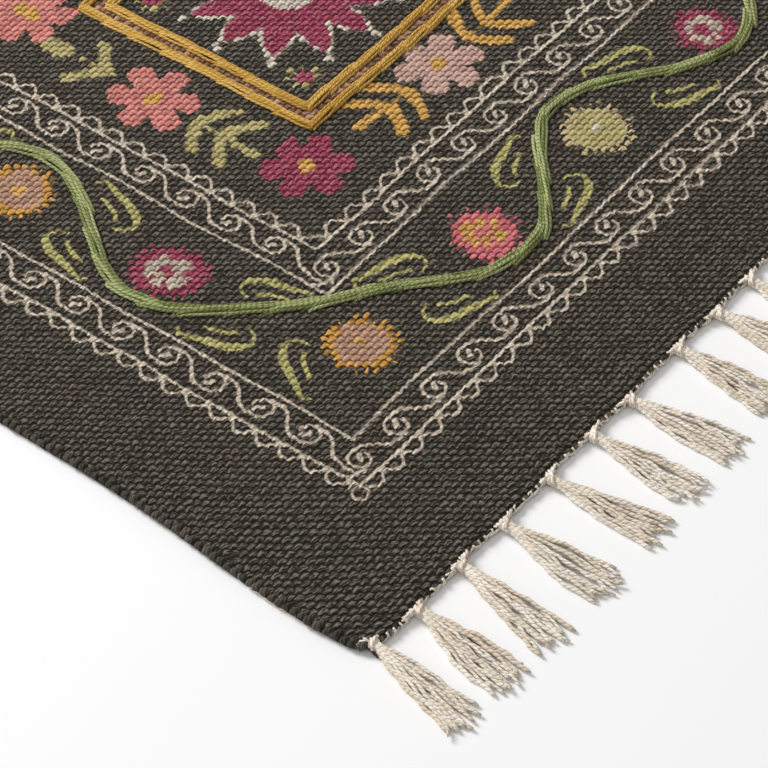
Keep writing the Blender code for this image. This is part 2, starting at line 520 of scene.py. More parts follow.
class SharedEffects:
    """The node groups that more than one finish uses."""

    def __init__(self) -> None:
        """Builds the groups."""
        self.weave = self.build_weave()
        self.fibres = self.build_fibres()
        self.spin = self.build_spin()

    @staticmethod
    def build_weave() -> Group:
        """The lattice of weft floats: each pick passes over every second warp, half a turn from the last.

        Returns:
            The group.
        """
        group = Group(
            "weft_floats",
            {"Cloth": "NodeSocketVector"},
            {
                "Middle": "NodeSocketVector",
                "Height": "NodeSocketFloat",
                "Tone": "NodeSocketFloat",
                "Streak": "NodeSocketFloat",
            },
        )
        board = group.board
        x, y, _ = board.split(group.take("Cloth"))
        across = x / RUG.warp_pitch
        along = y / RUG.pick_pitch
        pick = along.nearest()
        shift = pick.modulo(2.0)
        warp = ((across - shift) / 2.0).nearest() * 2.0 + shift
        middle = board.join(warp * RUG.warp_pitch, pick * RUG.pick_pitch)
        chance = board.node("ShaderNodeTexWhiteNoise", noise_dimensions="2D")
        board.feed(chance.inputs["Vector"], middle)
        tone = Field(board, chance.outputs["Value"])
        u = across - warp
        v = along - pick
        slant = v + u * 0.19
        fibre_way = board.join((x - y * 0.24) * 0.34 + tone * 31.0, (y + x * 0.24) * 1.15 + tone * 17.0)
        streak = board.noise(fibre_way, 1.0, 1.0)
        swell = 1.0 - u * u * (0.7 + tone * 0.25) - slant * slant * (3.3 + tone * 0.9)
        group.give("Middle", middle)
        group.give("Height", swell.root() + (streak - 0.5) * 1.1 * swell.most(0.0))
        group.give("Tone", tone)
        group.give("Streak", board.smooth(streak, 0.38, 0.62))
        return group

    @staticmethod
    def build_fibres() -> Group:
        """Fine fibre noise.

        Returns:
            The group.
        """
        group = Group("cotton_fibres", {"Place": "NodeSocketVector"}, {"Value": "NodeSocketFloat"})
        board = group.board
        fine = board.noise(group.take("Place"), 1.0, 3.0)
        group.give("Value", fine)
        return group

    @staticmethod
    def build_spin() -> Group:
        """Plies twisted round each other along a yarn, read from its own winding map.

        Returns:
            The group.
        """
        group = Group(
            "spun_plies",
            {"Winding": "NodeSocketVector", "Plies": "NodeSocketFloat", "Lay": "NodeSocketFloat"},
            {"Ply": "NodeSocketFloat", "Strand": "NodeSocketFloat"},
        )
        board = group.board
        along, around, _ = board.split(group.take("Winding"))
        plies = group.take("Plies")
        turn = around * plies + along * WINDING_MM * plies / group.take("Lay")
        off = abs(turn.modulo(1.0) - 0.5) * 2.0
        group.give("Ply", (1.0 - off * off).root())
        hair = (along * WINDING_MM * 2.1 + around * 7.0) * 6.283
        group.give("Strand", hair.sine() * 0.5 + 0.5)
        return group


def new_finish(name: str) -> tuple[bpy.types.Material, Board, bpy.types.Node]:
    """Starts a finish.

    Args:
        name: The material's name.

    Returns:
        The material, its board and its main shader.
    """
    made = bpy.data.materials.new(name)
    made.use_nodes = True
    return made, Board(made.node_tree), made.node_tree.nodes["Principled BSDF"]


def soften(
    board: Board, shader: bpy.types.Node, gloss: Sequence[float], relief: float, height: Field
) -> None:
    """Gives a finish the faint gloss of cotton, and its relief.

    Args:
        board: The finish's board.
        shader: Its main shader.
        gloss: Its specular level, sheen weight and sheen roughness.
        relief: Its depth in millimetres.
        height: What the relief follows.
    """
    for label, value in zip(("Specular IOR Level", "Sheen Weight", "Sheen Roughness"), gloss):
        shader.inputs[label].default_value = value
    bump = board.node("ShaderNodeBump")
    bump.inputs["Strength"].default_value = 1.0
    bump.inputs["Distance"].default_value = relief * MM
    board.feed(bump.inputs["Height"], height)
    board.feed(shader.inputs["Normal"], bump.outputs[0])


@dataclass(frozen=True)
class YarnFinish:
    """Spun cotton: a lit and a shaded colour that its strands take at random, a painted shade for the grooves
    between its plies, and its plies and how they are laid.
    """

    name: str
    light: tuple[float, float, float, float]
    shade: tuple[float, float, float, float]
    # Painted shade for the grooves between the plies.
    groove_shade: tuple[float, float, float, float]
    plies: float = 2.0
    lay: float = 3.2
    contrast: float = 0.8
    roughness: float = 0.88
    relief: float = 0.5
    gloss: tuple[float, float, float] = (0.15, 0.08, 0.5)

    def material(self, effects: SharedEffects) -> bpy.types.Material:
        """The finish as a material.

        Args:
            effects: The shared groups.

        Returns:
            The material, which reads the yarn's winding map and each strand's tone.
        """
        made, board, shader = new_finish(self.name)
        winding = board.node("ShaderNodeUVMap", uv_map="winding").outputs[0]
        tone = Field(board, board.node("ShaderNodeAttribute", attribute_name="tone").outputs["Fac"])
        spin = effects.spin.place(board, Winding=winding, Plies=self.plies, Lay=self.lay)
        ply, strand = Field(board, spin.outputs["Ply"]), Field(board, spin.outputs["Strand"])
        place = board.node("ShaderNodeTexCoord").outputs["Object"]
        stretch = board.node("ShaderNodeMapping")
        board.feed(stretch.inputs["Vector"], place)
        stretch.inputs["Scale"].default_value = (1300, 1300, 1300)
        fibre = Field(board, effects.fibres.place(board, Place=stretch.outputs[0]).outputs["Value"])
        patchy = board.noise(place, 70.0, 2.0)
        # Painted light and shade: each strand and patch is mixed between the lit and the shaded colour by its
        # random tone and noise.
        light_share = tone * 0.55 + patchy * 0.35 + (fibre - 0.5) * 1.2 + 0.06
        colour = board.blend(board.smooth(light_share, 0.1, 0.9), self.shade, self.light)
        # Painted shade: the grooves between the plies are darkened towards the groove colour.
        recess_shade = board.smooth(ply * 0.9 + strand * 0.08 + fibre * 0.2, 0.88, 0.35)
        colour = board.blend(recess_shade * self.contrast, colour, self.groove_shade)
        board.feed(shader.inputs["Base Color"], colour)
        board.feed(shader.inputs["Roughness"], (fibre - 0.5) * 0.2 + self.roughness)
        soften(board, shader, self.gloss, self.relief, ply * 0.8 + strand * 0.1 + fibre * 0.4)
        return made


CREAM = tint(206, 190, 170)
PALE_CREAM = tint(226, 214, 196)
# Painted shade: the dark colour of the gaps between the weft floats.
GAP_SHADE = tint(14, 12, 8)
MAGENTA = tint(156, 44, 80)
CORAL = tint(222, 132, 124)
ROSE = tint(214, 102, 114)
MAUVE = tint(194, 148, 122)
BROWN_MAUVE = tint(134, 88, 56)
DUSTY_PINK = tint(212, 170, 156)
MUSTARD = tint(224, 170, 78)
RIM_MUSTARD = tint(216, 154, 58)
OLIVE = tint(192, 178, 116)
LEAF = tint(192, 184, 112)
BEIGE = tint(204, 182, 134)


class PrintedPattern:
    """The printed motifs, as masks and colours over the cloth."""

    outer_side = 66.0
    outer_end = 57.3
    inner_side = 148.8
    inner_end = 140.6
    depth = 20.0
    line = 0.72
    side_step = 87.8
    end_step = 89.2
    squares_x = 303.0
    near_square_y = 282.5
    square_pitch = 175.0

    def __init__(self, board: Board, cloth: object, middle: object, tone: Field, streak: Field) -> None:
        """Sets the cloth's coordinates, stepped a little from float to float, and folds the far half back.

        Args:
            board: The finish's board.
            cloth: Coordinates on the cloth in millimetres.
            middle: Middle of the float that a place belongs to.
            tone: The float's own random number.
            streak: The fibres' streaks.
        """
        self.board = board
        self.tone = tone
        wx, wy = self.wander(cloth, 0.42, 1.0)
        lx, ly = self.wander(cloth, 0.021, 0.0)
        px, py, _ = board.split(cloth)
        mx, my, _ = board.split(middle)
        back = py.over(RUG.length / 2)
        turn = 1.0 - back * 2.0
        thread = (streak - 0.5) * 0.5
        dx = (wx - 0.5) * 1.3 + (lx - 0.5) * 4.0 + thread
        dy = (wy - 0.5) * 1.3 + (ly - 0.5) * 4.0 + thread
        self.x, self.y = self.fold(turn, px + dx, py + dy)
        sx = board.pick(0.5, px, mx)
        sy = board.pick(0.5, py, my)
        self.sx, self.sy = self.fold(turn, sx + dx, sy + dy)

    def wander(self, cloth: object, scale: float, detail: float) -> tuple[Field, Field]:
        """Soft noise that moves the print a little, separately across and along.

        Args:
            cloth: Coordinates on the cloth in millimetres.
            scale: How fine it is.
            detail: How many finer layers it has.

        Returns:
            Both numbers, from zero to one.
        """
        made = self.board.node("ShaderNodeTexNoise")
        self.board.feed(made.inputs["Vector"], cloth)
        made.inputs["Scale"].default_value = scale
        made.inputs["Detail"].default_value = detail
        x, y, _ = self.board.split(made.outputs["Color"])
        return x, y

    @staticmethod
    def fold(turn: Field, x: Field, y: Field) -> tuple[Field, Field]:
        """Turns the far half of the rug half a turn on to the near half.

        Args:
            turn: One on the near half and minus one on the far half.
            x: Place across.
            y: Place along.

        Returns:
            The place on the near half.
        """
        half_x, half_y = RUG.width / 2, RUG.length / 2
        return (x - half_x) * turn + half_x, (y - half_y) * turn + half_y

    def cut(self, distance: Number, soft: float = 0.35) -> Field:
        """One where the distance is below zero, with a soft edge."""
        return self.board.smooth(distance, soft, -soft)

    def borders(self) -> Field:
        """The two borders: their double lines, scallops and running scrolls.

        Returns:
            The mask of the cream lines.
        """
        board, x, y = self.board, self.x, self.y
        right = x.over(RUG.width / 2)
        from_side = RUG.width / 2 - abs(x - RUG.width / 2)
        slope = (x - 230.0) * 0.006
        inner = (from_side - self.outer_side).least(y - self.outer_end).over(44.0)
        side = from_side - board.pick(inner, self.outer_side, self.inner_side)
        end = y - board.pick(inner, self.outer_end - slope, self.inner_end)
        t = side.least(end)
        near_line = abs(t).least(abs(t - self.depth)) - self.line
        scallops = self.scallops(t, side, end, inner)
        corner = abs(board.length(side + 3.0, end + 3.2) - 3.7) - 0.6
        scrolls = self.scrolls(side, end, inner, right, x)
        within = t.over(0.0) * t.under(self.depth)
        drawn = board.pick(within, scallops.least(corner + inner * 40.0), scrolls)
        return self.cut(near_line.least(drawn), 0.4)

    def scallops(self, t: Field, side: Field, end: Field, inner: Field) -> Field:
        """The row of scallops that hangs from a border's line.

        Args:
            t: Distance in from the border's outer line.
            side: Distance in from its side line.
            end: Distance in from its end line.
            inner: One in the inner border.

        Returns:
            The distance from the drawn scallops.
        """
        board = self.board
        out = board.pick(inner, t * -1.0, t - self.depth)
        reach = side.most(end)
        outer_way = board.pick(side.under(end), (reach - 6.9) * (1 / 13.3), (reach - 10.7) * (1 / 12.75))
        place = board.pick(inner, outer_way, (reach - 10.6) * (1 / 13.0))
        u = abs(place - place.nearest()) * 2.0
        bow = board.curve(u, [(0.0, 6.6), (0.25, 6.2), (0.5, 4.9), (0.75, 2.9), (1.0, 0.4)])
        bowed = abs(out - bow) * board.curve(u, [(0.0, 1.0), (0.3, 0.85), (1.0, 0.58)]) - 0.74
        drop = (out + (1.0 - u) * 7.5 - 3.5) * 0.6
        gone = (2.0 - reach).most(0.0) * 4.0 + (out * -1.0 - 0.4).most(0.0) * 6.0
        return bowed.least(drop) + gone

    def scrolls(self, side: Field, end: Field, inner: Field, right: Field, x: Field) -> Field:
        """The running scrolls between a border's two lines.

        Args:
            side: Distance in from the side line.
            end: Distance in from the end line.
            inner: One in the inner border.
            right: One on the right half.
            x: Place across the cloth.

        Returns:
            The distance from the drawn scrolls.
        """
        board = self.board
        by_side = side.under(self.depth) * (end.over(self.depth).most(right))
        along_end = x - board.pick(inner, self.outer_side + 13.4, self.inner_side + 14.0)
        along = board.pick(by_side, along_end, end - 11.9)
        facing = board.pick(by_side, 1.0, right * 2.0 - 1.0)
        h = (board.pick(by_side, end, side) - 10.2) * facing
        pitch = board.pick(by_side, 26.05 - inner * 0.5, 25.5)
        place = along / pitch
        w = (place - place.nearest()) * pitch
        onward = place.modulo(1.0) * pitch
        fall = [(3.2, 4.9), (5.5, 4.6), (8.0, 3.2), (12.0, -1.2), (15.0, -4.3), (18.0, -5.6), (26.0, -5.8)]
        ease = [(3.2, 0.98), (6.0, 0.8), (9.0, 0.62), (13.0, 0.62), (17.0, 0.9), (26.0, 1.0)]
        sweep = abs(h - board.curve(onward, fall)) * board.curve(onward, ease)
        sweep = sweep + (3.2 - onward).most(onward - 25.0).most(0.0)
        radius = board.length(w, h)
        angle = (board.math("ARCTAN2", h, w) * (180 / math.pi) - 50.0).modulo(360.0)
        coil = [(0.0, 5.7), (40.0, 5.0), (85.0, 5.4), (130.0, 5.8)]
        coil += [(175.0, 5.9), (220.0, 5.5), (280.0, 4.3), (360.0, 3.1)]
        curl = abs(radius - board.curve(angle, coil)) + (angle - 312.0).most(0.0) * 0.1
        eye = board.bar(w, h, (-0.7, -0.7), (1.4, 1.6)) - 0.5
        knob = board.length(w + 2.8, (h + 5.6) * 1.3) - 0.9
        run = board.bar(side, end, (7.2, 20.5), (4.9, 13.0))
        run = run.least(board.bar(side, end, (4.9, 13.0), (4.6, 6.0)))
        run = run.least(board.bar(side, end, (4.6, 6.0), (8.0, 3.2))) + right * 40.0
        return sweep.least(curl).least(eye).least(knob).least(run) - 0.74

    def rosette_steps(self, x: Field, y: Field) -> tuple[Field, Field]:
        """Places along the band in rosette steps, which draw closer together towards its far ends.

        Args:
            x: Place across the cloth.
            y: Place along the cloth.

        Returns:
            The place along the side and the place along the end.
        """
        along_side = (y + (y - 292.6).most(0.0) * 0.068 - 117.0) * (1 / self.side_step)
        along_end = (x + (x - 401.0).most(0.0) * 0.18 - 133.5) * (1 / self.end_step)
        return along_side, along_end

    def vine_band(self) -> tuple[Field, Field, Field, Field]:
        """Places along and across the band of rosettes and leaves.

        Returns:
            The place along in rosette steps, the place across from the band's middle, the step's
            length and one on the sides.
        """
        board, x, y = self.board, self.sx, self.sy
        fx = RUG.width / 2 - abs(x - RUG.width / 2)
        at_corner = board.length(fx - 133.5, y - 109.0).under(25.0)
        by_side = (fx - self.outer_side).under(y - self.outer_end) * (1.0 - at_corner)
        along_side, along_end = self.rosette_steps(x, y)
        along = board.pick(by_side, along_end, along_side)
        across = board.pick(by_side, y - 108.6, fx - 117.2)
        return along, across, board.pick(by_side, self.end_step, self.side_step), by_side

    def rosettes_and_leaves(self, colour: object) -> bpy.types.NodeSocket:
        """The spiky rosettes and the leaf pairs between them.

        Args:
            colour: The colour below.

        Returns:
            The colour with both printed on it.
        """
        board = self.board
        along, across, step, by_side = self.vine_band()
        whole = along.nearest()
        u = (along - whole) * step
        radius = board.length(u, across)
        angle = board.math("ARCTAN2", across, u)
        ragged = board.noise(board.join(angle.cosine() * 2.6, angle.sine() * 2.6, whole), 1.6, 1.0)
        spikes = board.smooth((angle * 24.0).cosine(), -0.1, 0.7)
        rim = 14.3 + spikes * (ragged * 6.5 + 0.8)
        uneven = radius + (self.tone - 0.5) * 3.4
        kind = whole + by_side * 5.0
        rims = [RIM_MUSTARD, ROSE, BEIGE, MAGENTA, RIM_MUSTARD]
        rims += [RIM_MUSTARD, MAGENTA, RIM_MUSTARD, ROSE, BEIGE]
        fills = [MAUVE, ROSE, OLIVE, MAGENTA, MAUVE, MAUVE, MAGENTA, MAUVE, ROSE, OLIVE]
        rings = [MAUVE, MUSTARD, OLIVE, CREAM, MAUVE, MAUVE, CREAM, MAUVE, MUSTARD, OLIVE]
        hearts = [MUSTARD, ROSE, PALE_CREAM, MAGENTA, MUSTARD, MUSTARD, MAGENTA, MUSTARD, ROSE, PALE_CREAM]
        ink = board.chart(kind, rims)
        ink = board.blend(board.smooth(uneven, 12.6, 11.6), ink, board.chart(kind, fills))
        broken = board.smooth((angle * 8.0).cosine() + (self.tone - 0.5) * 1.4, -0.9, -0.3)
        ring = board.smooth(uneven, 10.0, 9.2) * board.smooth(radius, 4.6, 5.4) * broken
        ink = board.blend(ring, ink, board.chart(kind, rings))
        ink = board.blend(board.smooth(radius, 3.5, 2.7), ink, board.chart(kind, hearts))
        specks = board.smooth(self.tone, 0.72, 0.8) * board.smooth(radius, 11.5, 10.5)
        ink = board.blend(specks * 0.8, ink, board.chart(kind, rings))
        shown = 1.0 - by_side * whole.under(0.5)
        colour = board.blend(self.cut(radius - rim, 0.45) * shown, colour, ink)
        return board.blend(self.leaves(by_side), colour, LEAF)

    def leaves(self, by_side: Field) -> Field:
        """The curved leaf pairs, each an outer outline that hooks over and a shorter vein.

        Args:
            by_side: One on the sides.

        Returns:
            The mask of the leaves.
        """
        board = self.board
        fx = RUG.width / 2 - abs(self.x - RUG.width / 2)
        step = board.pick(by_side, self.end_step, self.side_step)
        along_side, along_end = self.rosette_steps(self.x, self.y)
        along = board.pick(by_side, along_end, along_side)
        across = board.pick(by_side, self.y - 108.4, fx - 116.9)
        below = along.floor()
        out = across.over(0.0) * 2.0 - 1.0
        flip = below.modulo(2.0) * 2.0 - 1.0
        u = (along - below - 0.5) * step * out * flip - 0.5
        v = abs(across) - 20.1
        cx, cy = fx - 103.0, self.y - 122.7
        lone = board.length(cx, cy).under(23.0)
        s = board.pick(lone, u * 0.885 + v * 0.466, cy * -0.7 - cx * 0.714)
        n = board.pick(lone, v * 0.885 - u * 0.466, cy * 0.714 - cx * 0.7)
        bow = [(-17.0, -0.6), (-15.4, 1.7), (-12.5, 3.3), (-6.6, 4.2), (0.9, 2.9), (10.0, 1.0), (17.0, 0.1)]
        thick = [(-17.0, 1.0), (-10.0, 1.75), (-2.0, 2.0), (6.0, 1.65), (12.0, 1.2), (17.0, 0.85)]
        outer = abs(n - board.curve(s, bow)) * 0.9 - board.curve(s, thick) + (abs(s) - 17.0).most(0.0)
        hook = board.bar(s, n, (-16.9, -0.6), (-15.8, -5.0))
        hook = hook.least(board.bar(s, n, (-15.8, -5.0), (-12.8, -7.6)))
        tip = board.bar(s, n, (17.0, 0.0), (17.8, -3.8))
        vein = board.bar(s, n, (-8.0, -5.2), (-3.6, -4.0)).least(board.bar(s, n, (-3.6, -4.0), (6.0, -5.4)))
        strokes = outer.least(hook.least(tip) - 0.7).least(vein - 1.0)
        outside = (along * -1.0).most(along - 4.0 - by_side * 9.0).most(0.0).over(0.0) * (1.0 - lone)
        return self.cut(strokes + outside * 40.0, 0.45)

    def field_motifs(self, colour: object) -> bpy.types.NodeSocket:
        """The flowers and sprigs round the stitched squares, and what the squares hold.

        Args:
            colour: The colour below.

        Returns:
            The colour with all of them printed on it.
        """
        board, x, y = self.board, self.sx, self.sy
        second = y.over(369.5)
        dx = x - self.squares_x
        dy = y - self.near_square_y - second * self.square_pitch
        ax, ay = abs(dx), abs(dy)
        low = dy.under(0.0) * (1.0 - second)
        column = ax.over(72.0)
        slot_c = (ay * (1 / 44.0)).nearest().least(2.0)
        last = slot_c.over(1.5)
        c_y = slot_c * 45.0 - last * 6.0
        c_x = 100.4 - last * board.pick(low, 11.3, 6.9)
        slot_r = (ax * (1 / 42.0)).nearest().least(1.0)
        row_y = 87.5 + low * 2.5
        small = 1.45 - low * 0.45
        off_a = board.pick(column, (slot_r * 43.0 - ax) * small, ay - c_y)
        off_c = board.pick(column, (dy - row_y * (1.0 - low.most(second) * 2.0)) * small, ax - c_x)
        odd = board.pick(column, slot_r, slot_c.modulo(2.0))
        inside = ay.under(112.0) * ax.under(124.0)
        edge, ink = self.flowers(off_a, off_c, second, low, column, slot_c)
        colour = board.blend(self.cut(edge, 0.45) * (1.0 - odd) * inside, colour, ink)
        single = column * (1.0 - low)
        toward = board.pick(column, off_a, off_a * -1.0)
        shape = board.pick(single, self.chevrons(toward, off_c), self.bud(off_a, abs(off_c)))
        ink = board.blend(column, MUSTARD, OLIVE)
        colour = board.blend(self.cut(shape, 0.45) * odd * inside, colour, ink)
        return self.square(colour, dx, dy)

    def flowers(
        self, a: Field, c: Field, second: Field, low: Field, column: Field, slot: Field
    ) -> tuple[Field, bpy.types.NodeSocket]:
        """A six-petalled flower with a yellow heart.

        Args:
            a: Place along from the flower's middle.
            c: Place across from the flower's middle.
            second: One by the middle square.
            low: One below the near square's middle.
            column: One in the side columns.
            slot: The place's number in its column.

        Returns:
            The distance from its edge, and its colour.
        """
        board = self.board
        radius = board.length(a, c)
        corner = slot.over(1.5) * column
        angle = board.math("ARCTAN2", a, c) * (6 / math.tau) + corner * low * 0.75
        u = abs(angle - angle.nearest()) * 2.0
        petal = [(0.0, 22.0), (0.35, 21.6), (0.58, 20.0), (0.76, 16.4), (0.9, 13.2), (1.0, 12.0)]
        edge = (radius - board.curve(u, petal)) * 0.8
        kind = board.pick(column, low * 2.0, board.pick(corner, 1.0 + second, 1.0 - low))
        ink = board.chart(kind, [MAGENTA, CORAL, DUSTY_PINK])
        heart = self.cut(radius + (self.tone - 0.5) * 1.5 - 4.4, 0.5)
        return edge, board.blend(heart, ink, MUSTARD)

    def chevrons(self, a: Field, c: Field) -> Field:
        """A sprig of two pairs of drooping blades on a stem.

        Args:
            a: Place along the stem, towards the tip.
            c: Place across it.

        Returns:
            The distance from its edge.
        """
        board = self.board
        d = abs(c)
        droop = d * d * 0.016
        upper = board.bar(a + droop, d, (18.5, 0.5), (14.0, 15.5)) - 3.3
        lower = board.bar(a + droop, d, (4.5, 0.5), (-1.8, 15.5)) - 3.2
        stem = board.bar(a, c + (a - 4.0) * 0.16, (4.0, 0.0), (-15.0, 0.0)) - 2.1
        tail = board.length((a + 13.5) * 0.62, c - 2.2) - 2.7
        thread = board.bar(a, c, (21.0, 0.0), (4.0, 0.0)) - 0.8
        return upper.least(lower).least(stem).least(tail).least(thread)

    def bud(self, a: Field, c: Field) -> Field:
        """A sprig of one upright blade between two that spread.

        Args:
            a: Place along the stem, towards the tip.
            c: Distance from the stem.

        Returns:
            The distance from its edge.
        """
        board = self.board
        upright = board.length((a - 13.0) * 0.56, c) - 5.2
        spread = board.bar(a, c, (-15.0, 1.0), (-4.0, 13.5)) - 3.1
        thread = board.bar(a, c, (0.0, 0.0), (-20.0, 0.0)) - 0.8
        return upright.least(spread).least(thread)

    def square(self, colour: object, dx: Field, dy: Field) -> bpy.types.NodeSocket:
        """The large flower, the buds and the mauve band of a stitched square.

        Args:
            colour: The colour below.
            dx: Place across from the square's middle.
            dy: Place along from the square's middle.

        Returns:
            The colour with them printed on it.
        """
        board = self.board
        edge = (abs(dx) - 67.2).most(abs(dy) - 64.4)
        band = self.cut(abs(edge) - 3.3, 0.5)
        grain = abs(edge) * 0.4 + (self.tone - 0.5) * 1.4
        colour = board.blend(band, colour, board.blend(board.smooth(grain, -0.6, 0.6), MAUVE, BROWN_MAUVE))
        bx, by = abs(dx) - 45.0, abs(dy) - 45.5
        bud = board.length(bx, by)
        rays = board.smooth((board.math("ARCTAN2", by, bx) * 8.0).cosine(), 0.0, 0.6)
        colour = board.blend(self.cut(bud - 4.6 - rays * 4.4, 0.5), colour, OLIVE)
        colour = board.blend(self.cut(bud - 4.7, 0.5), colour, MAGENTA)
        radius = board.length(dx, dy)
        angle = board.math("ARCTAN2", dy, dx) * (6 / math.pi)
        u = abs(angle - angle.nearest()) * 2.0
        outline = 49.5 - u**1.25 * 18.0
        slope = u**0.25 * 86.0 / (radius + 4.0)
        off = (radius - outline) / (slope * slope + 1.0).root()
        colour = board.blend(self.cut(off, 0.4), colour, MAGENTA)
        lean = u * math.radians(15)
        tip_a = radius * lean.cosine()
        tip_c = radius * lean.sine()
        dots = board.length((tip_a - 53.6) * 0.8, tip_c) - 2.2
        neck = tip_c + (abs(tip_a - 51.0) - 2.5).most(0.0) - 0.8
        lines = abs(off) - 0.75
        colour = board.blend(self.cut(lines.least(dots).least(neck), 0.35), colour, PALE_CREAM)
        toothed = (angle * (math.pi / 6) * 20.0).cosine() * 0.6
        colour = board.blend(self.cut(radius - 15.4 - toothed, 0.5), colour, PALE_CREAM)
        return board.blend(self.cut(radius - 5.2, 0.5), colour, MUSTARD)


@dataclass(frozen=True)
class PrintedCotton:
    """The ground's finish: charcoal weft floats with the printed pattern on their tops, painted highlights
    along their fibre streaks and painted shade in the gaps between them.
    """

    name: str = "printed_charcoal_cotton"
    roughness: float = 0.9
    relief: float = 1.0
    gloss: tuple[float, float, float] = (0.08, 0.04, 0.6)

    def material(self, effects: SharedEffects) -> bpy.types.Material:
        """The finish as a material.

        Args:
            effects: The shared groups.

        Returns:
            The material, which reads the cloth's own coordinates from its mesh.
        """
        made, board, shader = new_finish(self.name)
        cloth = board.node("ShaderNodeAttribute", attribute_name="cloth").outputs["Vector"]
        weave = effects.weave.place(board, Cloth=cloth)
        height, tone, streak = (Field(board, weave.outputs[n]) for n in ("Height", "Tone", "Streak"))
        x, y, depth = board.split(cloth)
        back = board.smooth(depth, 0.3, 0.7)
        runs = board.noise(board.join(x * 0.045, y * 0.33), 1.0, 1.0)
        patchy = board.noise(cloth, 0.03, 2.0)
        pattern = PrintedPattern(board, cloth, weave.outputs["Middle"], tone, streak)
        hue = board.smooth(runs * 0.7 + patchy * 0.6 + tone * 0.25, 0.55, 1.0)
        plain = board.blend(hue, tint(46, 43, 35), tint(57, 48, 39))
        colour = pattern.field_motifs(pattern.rosettes_and_leaves(plain))
        colour = board.blend(back, colour, plain)
        lines = pattern.borders() * (1.0 - back)
        # Painted highlight: the cream lines are lighter along the fibre streaks, and the tops of the floats
        # are whitened along them.
        colour = board.blend(lines, colour, board.blend(streak, tint(190, 170, 148), PALE_CREAM))
        lit = board.smooth(height, 0.4, 1.0) * (streak * 0.95 + 0.02)
        colour = board.blend(lit * (0.28 - lines * 0.17), colour, tint(206, 193, 174))
        # Partly painted shade in the gaps between the floats and between the fibre streaks, partly each
        # float's own random tone.
        recess_shade = board.smooth(height, 0.6, 0.0)
        shade_and_tone = (recess_shade * 0.66 + (1.0 - streak) * 0.36 + (tone - 0.5) * 0.22) * (1.0 - lines * 0.5)
        colour = board.blend(shade_and_tone, colour, board.blend(0.16, GAP_SHADE, colour))
        board.feed(shader.inputs["Base Color"], colour)
        board.feed(shader.inputs["Roughness"], (streak - 0.5) * 0.1 + self.roughness)
        soften(board, shader, self.gloss, self.relief, height)
        return made


def add_piece(data: bpy.types.Mesh, material: bpy.types.Material) -> bpy.types.Object:
    """Smooths a mesh, gives it its finish and adds it to the scene under its own name.

    Args:
        data: The mesh.
        material: Its finish.

    Returns:
        The piece, at the origin.
    """
    data.polygons.foreach_set("use_smooth", np.ones(len(data.polygons), dtype=bool))
    data.materials.append(material)
    data.update()
    made = bpy.data.objects.new(data.name, data)
    bpy.context.scene.collection.objects.link(made)
    return made


class Skein:
    """Gathers strands of yarn and makes one mesh of them, with a winding map and a tone for each strand."""

    def __init__(self, sides: int = 6) -> None:
        """Starts an empty skein of strands with this many sides."""
        self.sides = sides
        self.points: list[np.ndarray] = []
        self.faces: list[Sequence[int]] = []
        self.winding: list[np.ndarray] = []
        self.tones: list[np.ndarray] = []
        self.total = 0

    def lay(
        self,
        path: np.ndarray,
        radii: np.ndarray,
        tone: float,
        flat: float = 1.0,
        axis: Sequence[float] = (0, 0, 1),
    ) -> None:
        """Adds one strand.

        Args:
            path: Its middle line in metres, one row a point.
            radii: Its radius at each point in metres.
            tone: Its own shade, from 0 to 1.
            flat: Its height over its width.
            axis: A direction that its path never runs along.
        """
        count, sides = len(path), self.sides
        ahead = np.gradient(path, axis=0)
        ahead /= np.linalg.norm(ahead, axis=1, keepdims=True) + 1e-12
        side = np.cross(np.asarray(axis, float), ahead)
        side /= np.linalg.norm(side, axis=1, keepdims=True) + 1e-12
        rise = np.cross(ahead, side)
        turn = 2 * np.pi * np.arange(sides) / sides
        ring = np.cos(turn)[None, :, None] * side[:, None, :]
        ring = ring + flat * np.sin(turn)[None, :, None] * rise[:, None, :]
        ring = path[:, None, :] + np.asarray(radii)[:, None, None] * ring
        run = np.concatenate([[0.0], np.cumsum(np.linalg.norm(np.diff(path, axis=0), axis=1))])
        run = run / (WINDING_MM * MM)
        i, k = np.meshgrid(np.arange(count - 1), np.arange(sides), indexing="ij")
        i, k = i.ravel(), k.ravel()
        onward = (k + 1) % sides
        here, there = i * sides, (i + 1) * sides
        quads = np.stack([here + k, here + onward, there + onward, there + k], 1)
        self.faces.extend((quads + self.total).tolist())
        self.faces.append([self.total + n for n in reversed(range(sides))])
        self.faces.append([self.total + (count - 1) * sides + n for n in range(sides)])
        corners = np.stack(
            [
                np.stack([run[i], k / sides], 1),
                np.stack([run[i], (k + 1) / sides], 1),
                np.stack([run[i + 1], (k + 1) / sides], 1),
                np.stack([run[i + 1], k / sides], 1),
            ],
            1,
        )
        self.winding.append(corners.reshape(-1, 2))
        for at in (0, -1):
            self.winding.append(np.tile([run[at], 0.25], (sides, 1)))
        self.points.append(ring.reshape(-1, 3))
        self.tones.append(np.full(count * sides, tone))
        self.total += count * sides

    def mesh(self, name: str, material: bpy.types.Material) -> bpy.types.Object:
        """Makes the piece.

        Args:
            name: The piece's name.
            material: Its finish.

        Returns:
            The piece, at the origin.
        """
        data = bpy.data.meshes.new(name)
        data.from_pydata(np.concatenate(self.points).tolist(), [], self.faces)
        layer = data.uv_layers.new(name="winding")
        layer.data.foreach_set("uv", np.concatenate(self.winding).ravel().astype(np.float32))
        tone = data.attributes.new("tone", "FLOAT", "POINT")
        tone.data.foreach_set("value", np.concatenate(self.tones).astype(np.float32))
        return add_piece(data, material)


def settle(piece: bpy.types.Object, nodes: Sequence[str] = ()) -> bpy.types.Object:
    """Ties a piece to the rug's body and the nodes that it stands for.

    Args:
        piece: The piece.
        nodes: Names of the nodes that it replaces.

    Returns:
        The piece.
    """
    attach(piece, "root")
    if nodes:
        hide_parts(*nodes)
    LOG.info("%s: %d faces", piece.name, len(piece.data.polygons))
    return piece


